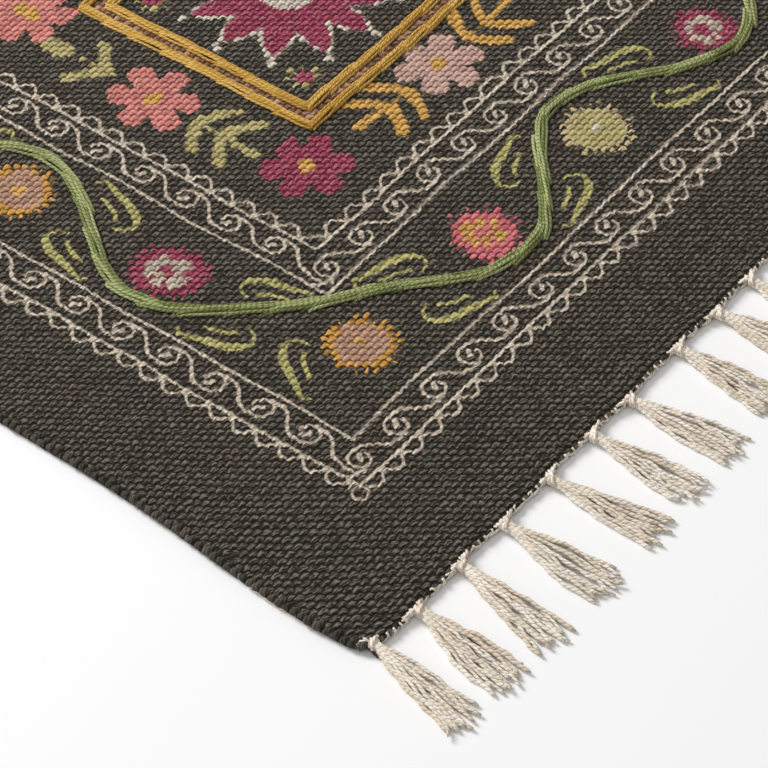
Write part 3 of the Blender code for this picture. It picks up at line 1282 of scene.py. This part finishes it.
@dataclass
class GroundCloth:
    """The woven ground: one sheet with floats in relief, drawn-in selvedges and rounded edges."""

    top: float = 3.75
    relief: float = 0.42
    border: float = 60.0
    jitter: float = 0.17
    level_jitter: float = 0.07
    sway: float = 0.12
    rim_drop: float = 0.5
    rings: tuple[tuple[float, float], ...] = ((0.45, 2.3), (0.35, 1.0), (-0.5, 0.05))
    seed: int = 41

    def cloth_grid(self) -> np.ndarray:
        """Places of the grid's points on the cloth, in millimetres from the near left corner.

        Returns:
            One row a point, pick by pick.
        """
        x = np.arange(RUG.warps + 1) * RUG.warp_pitch
        y = np.arange(RUG.picks + 1) * RUG.pick_pitch
        gx, gy = np.meshgrid(x, y)
        return np.stack([gx.ravel(), gy.ravel()], 1)

    def laid_out(self, places: np.ndarray) -> np.ndarray:
        """Where the cloth's places lie, in millimetres from the rug's middle.

        Args:
            places: Places on the cloth.

        Returns:
            The same rows, with the outline's waist, flare, ripple and rounded corners.
        """
        x, y = (places - (RUG.width / 2, RUG.length / 2)).T
        near_side = np.clip((np.abs(x) - RUG.width / 2 + self.border) / self.border, 0, 1)
        near_end = np.clip((np.abs(y) - RUG.length / 2 + self.border) / self.border, 0, 1)
        side_pull = near_side**2 * (3 - 2 * near_side)
        end_pull = near_end**2 * (3 - 2 * near_end)
        out_x = x - np.sign(x) * RUG.inset(y) * side_pull
        reach = RUG.end_reach(np.where(y < 0, x, -x))
        out_y = y + np.sign(y) * reach * end_pull
        calm = (1 - near_side) * (1 - near_end)
        out_x = out_x + 0.5 * np.sin(y / 61.0 + 0.6) * calm
        out_y = out_y + 0.6 * np.sin(x / 73.0 + 1.1) * calm
        u = np.clip((np.abs(x) - RUG.width / 2) / RUG.corner + 1, 0, 1)
        v = np.clip((np.abs(y) - RUG.length / 2) / RUG.corner + 1, 0, 1)
        share = np.maximum(u, v) / np.maximum(np.hypot(u, v), 1e-9)
        pull = RUG.corner * (1 - share) * (np.minimum(u, v) > 0)
        return np.stack([out_x - np.sign(x) * u * pull, out_y - np.sign(y) * v * pull], 1)

    def build(self, material: bpy.types.Material) -> bpy.types.Object:
        """Makes the sheet.

        Args:
            material: The ground's finish.

        Returns:
            The piece.
        """
        columns, rows = RUG.warps + 1, RUG.picks + 1
        places = self.cloth_grid()
        flat = self.laid_out(places)
        rng = np.random.default_rng(self.seed)
        i, j = np.tile(np.arange(columns), rows), np.repeat(np.arange(rows), columns)
        over = 1.0 - 2.0 * ((i + j) % 2)
        rim = (i == 0) | (i == columns - 1) | (j == 0) | (j == rows - 1)
        flat[~rim] += rng.normal(0, self.jitter, (int((~rim).sum()), 2))
        sway = self.sway * np.sin(flat[:, 0] / 47 + 0.8) * np.sin(flat[:, 1] / 58)
        z = self.top + over * self.relief + rng.normal(0, self.level_jitter, len(places)) + sway
        z[rim] -= self.rim_drop
        index = np.arange(rows * columns).reshape(rows, columns)
        around = np.concatenate([index[0, :], index[1:, -1], index[-1, -2::-1], index[-2:0:-1, 0]])
        edge = flat[around]
        ahead = np.roll(edge, -1, 0) - np.roll(edge, 1, 0)
        ahead /= np.linalg.norm(ahead, axis=1, keepdims=True)
        outward = np.stack([ahead[:, 1], -ahead[:, 0]], 1)
        points = [np.column_stack([flat, z])]
        cloth = [np.column_stack([places, np.zeros(len(places))])]
        for out, level in self.rings:
            bulge = out + rng.normal(0, 0.12, len(edge))
            points.append(np.column_stack([edge + outward * bulge[:, None], np.full(len(edge), level)]))
            cloth.append(np.column_stack([places[around], np.full(len(edge), float(level < 0.5))]))
        quads = np.stack([index[:-1, :-1], index[:-1, 1:], index[1:, 1:], index[1:, :-1]], -1).reshape(-1, 4)
        faces = quads.tolist()
        starts = [len(places) + len(edge) * n for n in range(len(self.rings))]
        loops = [around] + [start + np.arange(len(edge)) for start in starts]
        for upper, lower in zip(loops, loops[1:]):
            band = np.stack([upper, lower, np.roll(lower, -1), np.roll(upper, -1)], 1)
            faces.extend(band.tolist())
        faces.append(loops[-1][::-1].tolist())
        data = bpy.data.meshes.new("ground_cloth")
        data.from_pydata((np.concatenate(points) * MM).tolist(), [], faces)
        layer = data.attributes.new("cloth", "FLOAT_VECTOR", "POINT")
        at = np.concatenate(cloth)
        layer.data.foreach_set("vector", at.ravel().astype(np.float32))
        made = add_piece(data, material)
        data.polygons[len(data.polygons) - 1].use_smooth = False
        return settle(made, ["rug_ground"])


@dataclass
class Selvedges:
    """The rolled edges of both long sides, where each pick of weft turns back round the last warp."""

    turn_pitch: float = 4.3
    bulk: float = 1.5
    first: float = 2.0
    last: float = 6.0
    tuft_ends: int = 8
    seed: int = 5

    @staticmethod
    def edge(y: float) -> float:
        """How far the selvedge is from the rug's middle line."""
        straight = float(RUG.width / 2 - RUG.inset(np.array([y]))[0])
        return straight - RUG.rounding(RUG.length / 2 - abs(y))

    def build(self, material: bpy.types.Material) -> bpy.types.Object:
        """Makes the turned wefts of both sides, and the dark tufts at the corners.

        Args:
            material: The charcoal yarn's finish.

        Returns:
            The piece.
        """
        skein = Skein(sides=6)
        rng = random.Random(self.seed)
        for hand in (-1, 1):
            y = -RUG.length / 2 + self.first
            while y < RUG.length / 2 - self.last:
                step = self.turn_pitch * rng.uniform(0.72, 1.3)
                near_corner = math.exp(-(((RUG.length / 2 - abs(y)) / 90) ** 2))
                size = self.bulk * rng.uniform(0.8, 1.15) * (1 + 0.15 * near_corner)
                self.turn(skein, hand, y + step / 2, size, rng)
                y += step
        for hand in (-1, 1):
            for end in (-1, 1):
                self.tuft(skein, hand, end, rng)
        return settle(skein.mesh("selvedge_turns", material))

    def turn(self, skein: Skein, hand: int, y: float, size: float, rng: random.Random) -> None:
        """One turn of weft, slanting over the edge.

        Args:
            skein: Where it goes.
            hand: Minus one on the left, one on the right.
            y: Its place along the edge.
            size: Its radius in millimetres.
            rng: Its random draws.
        """
        slant = rng.uniform(-1.8, -0.6) * hand
        angles = np.radians(np.linspace(112, -50, 8))
        out = 1.7 + rng.uniform(-0.35, 0.35)
        x = self.edge(y) - 1.8 + out * np.cos(angles) - np.clip(angles - 1.5, 0, 1) * 4
        z = 2.25 + (1.25 + rng.uniform(-0.15, 0.2)) * np.sin(angles)
        along = y + slant * np.linspace(-1, 1, 8)
        swell = np.array([0.3, 0.7, 0.98, 1.05, 1.0, 0.9, 0.7, 0.4])
        path = np.column_stack([hand * x, along, z]) * MM
        skein.lay(path, swell * size * 0.78 * MM, rng.random(), flat=1.35, axis=(0, 1, 0))

    def tuft(self, skein: Skein, hand: int, end: int, rng: random.Random) -> None:
        """A few dark weft ends at a corner, caught under the first knot.

        Args:
            skein: Where they go.
            hand: Minus one on the left, one on the right.
            end: Minus one at the near end, one at the far end.
            rng: Their random draws.
        """
        y = end * (RUG.length / 2 - 4.0)
        for k in range(self.tuft_ends):
            t = np.linspace(0, 1, 7)
            x = hand * (RUG.width / 2 + 1.2 - k * 0.45 + t * rng.uniform(-0.8, 0.8))
            out = y + end * t * rng.uniform(6.0, 9.0)
            z = 2.6 - 1.9 * t + 0.5 * np.sin(t * math.pi)
            radii = np.full(7, 0.62) * (1 - 0.3 * t)
            skein.lay(np.column_stack([x, out, z]) * MM, radii * MM, rng.random())


@dataclass
class EdgeCords:
    """The pale outer warp that shows below the turned wefts of each long side in places."""

    radius: float = 0.55
    end_gap: float = 10.0
    step: float = 3.0
    seed: int = 17

    def build(self, material: bpy.types.Material) -> bpy.types.Object:
        """Makes both cords.

        Args:
            material: The natural cotton's finish.

        Returns:
            The piece.
        """
        skein = Skein(sides=5)
        rng = np.random.default_rng(self.seed)
        y = np.arange(-RUG.length / 2 + self.end_gap, RUG.length / 2 - self.end_gap, self.step)
        for hand in (-1, 1):
            shift = np.convolve(rng.normal(0, 1.0, len(y) + 8), np.ones(9) / 9, "valid") * 2.1
            x = RUG.width / 2 - RUG.inset(y) - 0.35 + np.clip(shift, -1.2, 0.8)
            level = 0.85 + 0.15 * np.sin(y / 5.0)
            path = np.column_stack([hand * x, y, level]) * MM
            radii = self.radius * (1 + 0.15 * np.sin(y * 1.3)) * MM
            skein.lay(path, radii, 0.4)
        return settle(skein.mesh("edge_cords", material))


@dataclass
class StitchedLine:
    """A line of long slanted stitches, each a bundle of yarns that starts beside the last one."""

    pitch: float
    length: float
    yarns: int
    radius: float
    sweep: float
    level: float = 3.75
    chord: float = 0.0
    points: int = 13

    def sew(self, skein: Skein, route: np.ndarray, closed: bool, seed: int) -> None:
        """Sews the line along a route.

        Args:
            skein: Where the yarns go.
            route: The route in millimetres, finely spaced.
            closed: Whether the route joins up.
            seed: Start of the random draws.
        """
        rng = random.Random(seed)
        if closed:
            route = np.vstack([route, route[:1]])
        along = np.concatenate([[0.0], np.cumsum(np.linalg.norm(np.diff(route, axis=0), axis=1))])
        count = max(2, round(along[-1] / self.pitch))
        for k in range(count):
            middle = (k + 0.5) * along[-1] / count + rng.uniform(-0.8, 0.8)
            half = self.length / 2 * rng.uniform(0.92, 1.08)
            self.stitch(skein, route, along, closed, middle, half, rng)

    def stitch(
        self,
        skein: Skein,
        route: np.ndarray,
        along: np.ndarray,
        closed: bool,
        middle: float,
        half: float,
        rng: random.Random,
    ) -> None:
        """One stitch, from under one side of the last to over the side of the next.

        Args:
            skein: Where the yarns go.
            route: The line's route.
            along: Distance along the route at each of its points.
            closed: Whether the route joins up.
            middle: The stitch's middle along the route.
            half: Half its length.
            rng: Its random draws.
        """
        t = np.linspace(-1, 1, self.points)
        s = middle + t * half
        s = s % along[-1] if closed else np.clip(s, 0.0, along[-1])
        x, y = np.interp(s, along, route[:, 0]), np.interp(s, along, route[:, 1])
        straight = (t + 1) / 2
        x = x + self.chord * (x[0] + (x[-1] - x[0]) * straight - x)
        y = y + self.chord * (y[0] + (y[-1] - y[0]) * straight - y)
        ahead_s = (s + 1.0) % along[-1] if closed else np.clip(s + 1.0, 1.0, along[-1])
        behind_s = (s - 1.0) % along[-1] if closed else np.clip(s - 1.0, 0.0, along[-1] - 1.0)
        dx = np.interp(ahead_s, along, route[:, 0]) - np.interp(behind_s, along, route[:, 0])
        dy = np.interp(ahead_s, along, route[:, 1]) - np.interp(behind_s, along, route[:, 1])
        norm = np.hypot(dx, dy) + 1e-9
        left = np.stack([-dy / norm, dx / norm], 1)
        if not closed:
            stretch = middle + t * half
            over_run = stretch - s
            x, y = x + dx / norm * over_run * 0.15, y + dy / norm * over_run * 0.15
        sweep = self.sweep * rng.uniform(0.8, 1.2)
        drift = sweep * (0.45 * t + 0.55 * t**5)
        plump = 0.5 + 0.5 * np.sqrt(np.clip(1 - t**2, 0, 1))
        lift = np.clip(1 - np.abs(t) ** 7, 0, 1)
        for n in range(self.yarns):
            place = 2 * n / (self.yarns - 1) - 1 if self.yarns > 1 else 0.0
            place += rng.uniform(-0.12, 0.12)
            spread = place * self.radius * (self.yarns - 1) * 0.86 * plump
            crown = (1 - place**2) * self.radius * 0.7 + (0.35 * self.radius if n % 2 else 0.0)
            z = self.level + self.radius * 0.8 - (1 - lift) * 2.0 + crown * plump
            wave = 0.2 * np.sin(t * rng.uniform(3, 7) + rng.uniform(0, 6))
            off = drift + spread + wave
            path = np.column_stack([x + left[:, 0] * off, y + left[:, 1] * off, z]) * MM
            body = 0.8 + 0.2 * np.sqrt(np.clip(1 - t**2, 0, 1))
            radii = self.radius * rng.uniform(0.92, 1.08) * body * MM
            skein.lay(path, radii, rng.random(), flat=0.92)


# The vine's route, repeated from the construction: x from the left selvedge and y from the near end.
VINE_SIDE = [
    (141, 457), (140, 446), (131, 430), (115, 412), (101, 397), (94, 382), (96, 366),
    (107, 350), (121, 334), (134, 318), (141, 301), (141, 285), (134, 272), (124, 257),
    (110, 240), (99, 225), (94, 210), (96, 195), (101, 183), (112, 170), (126, 154),
]
VINE_END = [
    (138, 142), (151, 132), (167, 122), (184, 107), (200, 93), (213, 88), (229, 86), (240, 87),
    (251, 94), (266, 106), (285, 122), (301, 133), (315, 134), (333, 129), (351, 117),
    (368, 103), (382, 96), (400, 90), (415, 92), (432, 103), (446, 120), (459, 133), (472, 142),
]


@dataclass
class Vine:
    """The green stitched vine that winds between the borders."""

    line: StitchedLine = field(
        default_factory=lambda: StitchedLine(
            pitch=19.0, length=35.0, yarns=4, radius=0.84, sweep=1.9, chord=0.35, points=15
        )
    )
    seed: int = 21

    def route(self) -> np.ndarray:
        """The closed route as a smooth curve through its places.

        Returns:
            Finely spaced points in millimetres from the rug's middle.
        """
        upper = [(x, RUG.length - y) for x, y in reversed(VINE_SIDE[1:])]
        half = RUG.centred(upper + VINE_SIDE + VINE_END)
        knots = np.vstack([half, -half])
        before, after, beyond = np.roll(knots, 1, 0), np.roll(knots, -1, 0), np.roll(knots, -2, 0)
        fine = []
        for t in np.linspace(0, 1, 8, endpoint=False):
            square = (2 * before - 5 * knots + 4 * after - beyond) * t**2
            cube = (3 * knots - before - 3 * after + beyond) * t**3
            fine.append(0.5 * (2 * knots + (after - before) * t + square + cube))
        return np.stack(fine, axis=1).reshape(-1, 2)

    def build(self, material: bpy.types.Material) -> bpy.types.Object:
        """Sews the vine.

        Args:
            material: The green yarn's finish.

        Returns:
            The piece.
        """
        skein = Skein(sides=6)
        self.line.sew(skein, self.route(), True, self.seed)
        return settle(skein.mesh("green_vine", material), ["vine"])


@dataclass
class StitchedSquare:
    """One square of two mustard rows, stitched side by side round the large flower."""

    number: int
    pitch: float = 175.0
    shift: float = 2.0
    half_x: float = 71.8
    half_y: float = 69.0
    row_spacing: float = 9.2
    line: StitchedLine = field(
        default_factory=lambda: StitchedLine(pitch=17.6, length=26.0, yarns=4, radius=0.78, sweep=1.15)
    )

    def build(self, material: bpy.types.Material) -> bpy.types.Object:
        """Sews both rows.

        Args:
            material: The mustard yarn's finish.

        Returns:
            The piece.
        """
        skein = Skein(sides=6)
        middle = np.array([(self.number - 2) * self.shift, (self.number - 2) * self.pitch])
        for row in range(2):
            hx, hy = self.half_x - row * self.row_spacing, self.half_y - row * self.row_spacing
            corners = [(-hx, -hy), (hx, -hy), (hx, hy), (-hx, hy)]
            for k in range(4):
                start, end = np.array(corners[k]), np.array(corners[(k + 1) % 4])
                share = np.linspace(0, 1, 40)[:, None]
                waver = np.sin(share * 9 + k + row) * 0.35
                across = np.array([[-(end - start)[1], (end - start)[0]]]) / np.linalg.norm(end - start)
                side = middle + start + (end - start) * share + across * waver
                self.line.sew(skein, side, False, 40 * self.number + 10 * row + k)
        nodes = [f"frame_outer_{self.number}", f"frame_inner_{self.number}"]
        return settle(skein.mesh(f"mustard_square_{self.number}", material), nodes)


@dataclass(frozen=True)
class Tassel:
    """One tassel's place along the end, lean, length and spread."""

    place: float
    lean: float
    length: float
    spread: float


TASSELS = [
    Tassel(1.8, 9.8, 54, 18.5), Tassel(27.5, 8.4, 52, 22), Tassel(57.6, 8.6, 54, 20),
    Tassel(87.2, 1.3, 53, 22), Tassel(119.8, -3.5, 54, 19), Tassel(151.4, -1.0, 52, 21),
    Tassel(178.8, -4.8, 52, 21), Tassel(217.0, 2.0, 50, 19), Tassel(246.3, -2.5, 53, 20),
    Tassel(272.5, 3.0, 52, 20), Tassel(303.0, -1.5, 54, 21), Tassel(333.5, 4.0, 51, 19),
    Tassel(363.0, 0.5, 53, 21), Tassel(394.5, -3.0, 55, 20), Tassel(424.0, 2.5, 52, 22),
    Tassel(455.0, -1.0, 51, 20), Tassel(484.5, 3.5, 54, 19), Tassel(516.0, -2.0, 53, 21),
    Tassel(546.0, 1.5, 52, 20), Tassel(576.5, -4.5, 54, 20), Tassel(606.0, -8.0, 53, 19),
]


@dataclass
class Fringe:
    """One end's warp ends, gathered and knotted into tassels that lie on the floor."""

    side: str
    strands: int = 14
    radius: float = 0.95
    knot_level: float = 2.6
    knot_off: float = 3.1
    gathered: int = 8
    near_seed: int = 11
    far_seed: int = 12

    def build(self, material: bpy.types.Material) -> bpy.types.Object:
        """Makes the end's tassels and knots, and the warp that shows along its edge.

        Args:
            material: The natural cotton's finish.

        Returns:
            The piece.
        """
        skein = Skein(sides=5)
        near = self.side == "near"
        half_turn = 1.0 if near else -1.0
        rng = random.Random(self.near_seed if near else self.far_seed)
        flat = ((0.0, 0.0, 1.0), np.zeros(2), 0.0)
        heads = []
        for tassel in TASSELS:
            x = tassel.place - RUG.width / 2
            head = np.array([x, self.edge(x) - self.knot_off])
            heads.append(head)
            for path, radii, axis in self.tassel(tassel, rng):
                self.put(skein, path, radii, axis, head, tassel.lean, half_turn, rng)
            for path, radii in self.gather(head, rng):
                self.put(skein, path, radii, *flat, half_turn, rng)
        for left, right in zip(heads, heads[1:]):
            for path, radii in self.runners(left, right, rng):
                self.put(skein, path, radii, *flat, half_turn, rng)
        for path, radii in self.edge_loops(rng):
            self.put(skein, path, radii, (1.0, 0.0, 0.0), np.zeros(2), 0.0, half_turn, rng)
        nodes = [f"tassel_{self.side}_{n + 1:02d}" for n in range(len(TASSELS))]
        return settle(skein.mesh(f"{self.side}_fringe", material), nodes)

    @staticmethod
    def edge(x: float) -> float:
        """Where the near end's edge is at a place across."""
        rounding = RUG.rounding(max(RUG.corner_stop, RUG.width / 2 - abs(x)))
        return rounding - (RUG.length / 2 + float(RUG.end_reach(np.array([x]))[0]))

    def put(
        self,
        skein: Skein,
        path: np.ndarray,
        radii: np.ndarray,
        axis: Sequence[float],
        head: np.ndarray,
        lean: float,
        half_turn: float,
        rng: random.Random,
    ) -> None:
        """Turns a strand to its tassel's lean and lays it at the near or the far end.

        Args:
            skein: Where it goes.
            path: The strand's path about the knot, in millimetres.
            radii: Its radii in millimetres.
            axis: A direction that it never runs along.
            head: The knot's place from the rug's middle.
            lean: The tassel's lean in degrees.
            half_turn: One at the near end, minus one at the far end.
            rng: Its random draws.
        """
        a = -math.radians(lean)
        x = path[:, 0] * math.cos(a) - path[:, 1] * math.sin(a) + head[0]
        y = path[:, 0] * math.sin(a) + path[:, 1] * math.cos(a) + head[1]
        laid = np.column_stack([x * half_turn, y * half_turn, path[:, 2]]) * MM
        skein.lay(laid, np.asarray(radii) * MM, rng.random(), axis=axis)

    def tassel(
        self, tassel: Tassel, rng: random.Random
    ) -> list[tuple[np.ndarray, np.ndarray, tuple[float, float, float]]]:
        """The strands and the wrapped knot of one tassel, about its knot.

        Args:
            tassel: Its sizes.
            rng: Its random draws.

        Returns:
            Each strand's path, radii and section axis.
        """
        made = []
        count = self.strands + rng.choice((-1, 0, 0, 1, 1))
        for k in range(count):
            place = 2 * (k + rng.uniform(-0.45, 0.45)) / (count - 1) - 1
            made.append((*self.strand(tassel, place, k, rng), (0.0, 0.0, 1.0)))
        turn = np.linspace(0, 2 * math.pi * 2.3, 30)
        start = rng.uniform(0, 6)
        tilt = rng.uniform(-0.7, 0.7)
        wrap = np.column_stack(
            [
                2.2 * np.cos(turn + start),
                np.linspace(1.7, -1.7, 30) + tilt * np.cos(turn + start),
                self.knot_level + 1.35 * np.sin(turn + start),
            ]
        )
        made.append((wrap, np.full(30, 1.02), (0.0, 1.0, 0.0)))
        over = np.linspace(-1, 1, 9)
        arch = self.knot_level + 0.1 + 2.0 * np.sqrt(np.clip(1.1 - over**2, 0, 1))
        cross = np.column_stack([2.4 * over, rng.uniform(0.9, 1.9) * over + 0.3, arch])
        made.append((cross, np.full(9, 0.95), (0.0, 1.0, 0.0)))
        return made

    def strand(
        self, tassel: Tassel, place: float, number: int, rng: random.Random
    ) -> tuple[np.ndarray, np.ndarray]:
        """One strand, from the knot down to the floor and out to its tip.

        Args:
            tassel: The tassel's sizes.
            place: The strand's place across it, from -1 to 1.
            number: The strand's number.
            rng: Its random draws.

        Returns:
            Its path and radii.
        """
        points = 24
        t = np.linspace(0, 1, points)
        reach = tassel.length * (1 - 0.05 * place**2) * rng.uniform(0.93, 1.08)
        fan = np.interp(t, (0, 0.1, 0.28, 0.6, 1), (0.12, 0.19, 0.46, 0.84, 1.0))
        half = tassel.spread / 2 - self.radius
        curl = rng.uniform(0.2, 0.5) * np.clip(t * 3, 0, 1)
        x = place * half * fan
        x = x + curl * np.sin(t * rng.uniform(22, 34) + rng.uniform(0, 6))
        x = x + t * rng.uniform(0.4, 1.5) * np.sin(t * rng.uniform(4, 9) + rng.uniform(0, 6))
        y = -reach * t + 0.3 * np.sin(t * 21 + rng.uniform(0, 6))
        layer = (number % 3) * 1.3
        fall = np.clip(1 - t / 0.42, 0, 1)
        floor = self.radius + layer * np.clip(1 - (t - 0.5) / 0.5, 0, 1)
        z = floor + (self.knot_level - self.radius - layer * 0.55) * fall**1.3
        z = z + 0.25 * (1 + np.sin(t * rng.uniform(18, 28) + rng.uniform(0, 6))) * np.clip(t * 3, 0, 1)
        draw = rng.random()
        if draw < 0.3:
            hook = np.clip((t - 0.82) / 0.18, 0, 1)
            x = x + hook**2 * rng.uniform(-3.4, 3.4)
            y = y + hook**2 * rng.uniform(0.5, 2.6)
            z = z + hook * rng.uniform(0.2, 1.2)
        body = self.radius * rng.uniform(0.8, 1.14)
        radii = body * (1 + 0.13 * np.sin(t * rng.uniform(38, 60) + rng.uniform(0, 6)))
        radii[-2] *= rng.uniform(0.8, 1.2)
        radii[-1] *= rng.uniform(0.35, 0.8)
        radii[0] *= 0.8
        return np.column_stack([x, y, np.maximum(z, radii)]), radii

    def gather(self, head: np.ndarray, rng: random.Random) -> list[tuple[np.ndarray, np.ndarray]]:
        """The warp ends that run along the cloth's edge into a knot.

        Args:
            head: The knot's place.
            rng: Its random draws.

        Returns:
            Each strand's path and radii.
        """
        made = []
        side = rng.choice((-1.0, 1.0, 1.0))
        for k in range(self.gathered):
            reach = (k - 2.5) * 1.9 * side + rng.uniform(-0.8, 0.8)
            start = min(max(head[0] + reach, -RUG.width / 2 - 3), RUG.width / 2 + 3)
            edge = self.edge(start)
            t = np.linspace(0, 1, 8)
            px = start + (head[0] - start) * t**1.3
            py = edge + 1.4 + (head[1] + 1.2 - edge - 1.4) * t**0.8
            pz = 2.3 + 1.1 * np.sin(t * math.pi) + 0.35 * t + rng.uniform(-0.2, 0.3)
            px = px + 0.3 * np.sin(t * 7 + rng.uniform(0, 6))
            made.append((np.column_stack([px, py, pz]), np.full(8, rng.uniform(0.62, 0.8))))
        return made

    def runners(
        self, left: np.ndarray, right: np.ndarray, rng: random.Random
    ) -> list[tuple[np.ndarray, np.ndarray]]:
        """The pale warp that wanders along the edge from one knot to the next, in and out of the weft.

        Args:
            left: One knot's place.
            right: The next knot's place.
            rng: Its random draws.

        Returns:
            Each strand's path and radii.
        """
        made = []
        for k in range(2):
            t = np.linspace(0, 1, 16)
            px = left[0] + (right[0] - left[0]) * t
            edge = np.array([self.edge(float(v)) for v in px])
            sway = 0.9 * np.sin(t * rng.uniform(14, 24) + rng.uniform(0, 6))
            py = edge + 0.1 - k * 0.5 + sway * 0.8
            pull = np.exp(-((t * 12) ** 2)) + np.exp(-(((1 - t) * 12) ** 2))
            py = py * (1 - pull) + (edge - 1.6) * pull
            pz = 2.2 - 0.6 * k + 0.6 * np.cos(t * rng.uniform(14, 24)) + 0.4 * pull
            made.append((np.column_stack([px, py, pz]), np.full(16, rng.uniform(0.5, 0.66))))
        return made

    def edge_loops(self, rng: random.Random) -> list[tuple[np.ndarray, np.ndarray]]:
        """The short loops of warp that show along the cloth's edge.

        Args:
            rng: Their random draws.

        Returns:
            Each loop's path and radii.
        """
        made = []
        x = -RUG.width / 2 - 2.0
        while x < RUG.width / 2 + 2.0:
            out = rng.uniform(0.6, 2.3)
            turn = np.linspace(0.2, math.pi * 0.95, 7)
            py = self.edge(x) + 0.7 - out * np.sin(turn)
            pz = 2.15 + 1.3 * np.cos(turn)
            px = x + rng.uniform(-1.8, 1.8) * np.linspace(0, 1, 7)
            made.append((np.column_stack([px, py, pz]), np.full(7, rng.uniform(0.5, 0.7))))
            x += rng.uniform(2.4, 7.5)
        return made


@dataclass
class Studio:
    """The pale floor, the soft lights and the camera."""

    camera_place: tuple[float, float, float] = (-1.0994, -1.0499, 1.1668)
    heading: float = 36.59
    down: float = 45.59
    roll: float = 0.947
    focal_pixels: float = 3786.3
    image_side: float = 768.0
    floor_size: float = 30.0
    lamps_aim: tuple[float, float, float] = (0.0, -0.2, 0.0)

    def floor(self) -> None:
        """Lays the pale floor under the rug."""
        bpy.ops.object.select_all(action="DESELECT")
        bpy.ops.mesh.primitive_plane_add(size=self.floor_size)
        plane = bpy.context.object
        plane.name = "studio_floor"
        made, _, shader = new_finish("pale_floor")
        shader.inputs["Base Color"].default_value = (0.93, 0.93, 0.93, 1)
        shader.inputs["Roughness"].default_value = 0.9
        plane.data.materials.append(made)

    def lights(self) -> None:
        """Sets a white surround and two soft lamps from the picture's upper left."""
        world = bpy.data.worlds.new("studio")
        bpy.context.scene.world = world
        world.use_nodes = True
        sky = world.node_tree.nodes["Background"]
        sky.inputs["Color"].default_value = (1.0, 1.0, 1.0, 1.0)
        sky.inputs["Strength"].default_value = 0.42
        for name, place, size, power in (
            ("key", (-0.3, 2.2, 1.9), 1.3, 98.0),
            ("fill", (-2.4, -0.6, 2.4), 2.4, 14.0),
        ):
            lamp = bpy.data.lights.new(name, "AREA")
            lamp.size = size
            lamp.energy = power
            holder = bpy.data.objects.new(name, lamp)
            holder.location = place
            away = Vector(place) - Vector(self.lamps_aim)
            holder.rotation_euler = away.to_track_quat("Z", "Y").to_euler()
            bpy.context.scene.collection.objects.link(holder)

    def camera(self) -> None:
        """Sets the camera at the picture's place, angle and framing."""
        a, e, r = (math.radians(v) for v in (self.heading, self.down, self.roll))
        forward = Vector((math.cos(a) * math.cos(e), math.sin(a) * math.cos(e), -math.sin(e)))
        level = Vector((math.sin(a), -math.cos(a), 0))
        upright = level.cross(forward)
        right = level * math.cos(r) + upright * math.sin(r)
        up = right.cross(forward)
        data = bpy.data.cameras.new("camera")
        data.sensor_width = 36.0
        data.lens = self.focal_pixels * data.sensor_width / self.image_side
        data.clip_start = 0.05
        data.clip_end = 60.0
        holder = bpy.data.objects.new("camera", data)
        turn = Matrix((right, up, -forward)).transposed().to_4x4()
        holder.matrix_world = Matrix.Translation(self.camera_place) @ turn
        bpy.context.scene.collection.objects.link(holder)
        bpy.context.scene.camera = holder
        bpy.context.scene.view_settings.view_transform = "Standard"

    def build(self) -> None:
        """Sets up floor, lights and camera."""
        self.floor()
        self.lights()
        self.camera()


def main() -> None:
    """Builds the rug's looks piece by piece."""
    logging.basicConfig(level=logging.INFO, format="%(name)s: %(message)s")
    Studio().build()
    effects = SharedEffects()
    natural = YarnFinish(
        "natural_warp_yarn",
        light=tint(250, 243, 231),
        shade=tint(224, 208, 186),
        groove_shade=tint(172, 146, 120),
        lay=5.5,
        contrast=0.45,
    )
    green = YarnFinish(
        "green_stitch_yarn",
        light=tint(184, 190, 130),
        shade=tint(106, 114, 56),
        groove_shade=tint(44, 50, 18),
        lay=5.2,
        contrast=0.95,
    )
    mustard = YarnFinish(
        "mustard_stitch_yarn",
        light=tint(226, 184, 100),
        shade=tint(182, 136, 46),
        groove_shade=tint(122, 84, 22),
        lay=5.6,
        contrast=0.65,
    )
    charcoal = YarnFinish(
        "charcoal_weft_yarn",
        light=tint(92, 86, 76),
        shade=tint(48, 44, 36),
        groove_shade=tint(22, 20, 15),
        plies=4.0,
        lay=9.0,
    )
    cloth = GroundCloth().build(PrintedCotton().material(effects))
    edges = Selvedges().build(charcoal.material(effects))
    natural_finish = natural.material(effects)
    cords = EdgeCords().build(natural_finish)
    vine = Vine().build(green.material(effects))
    mustard_finish = mustard.material(effects)
    squares = [StitchedSquare(n).build(mustard_finish) for n in (1, 2, 3)]
    fringes = [Fringe(side).build(natural_finish) for side in ("near", "far")]


if __name__ == "__main__":
    main()
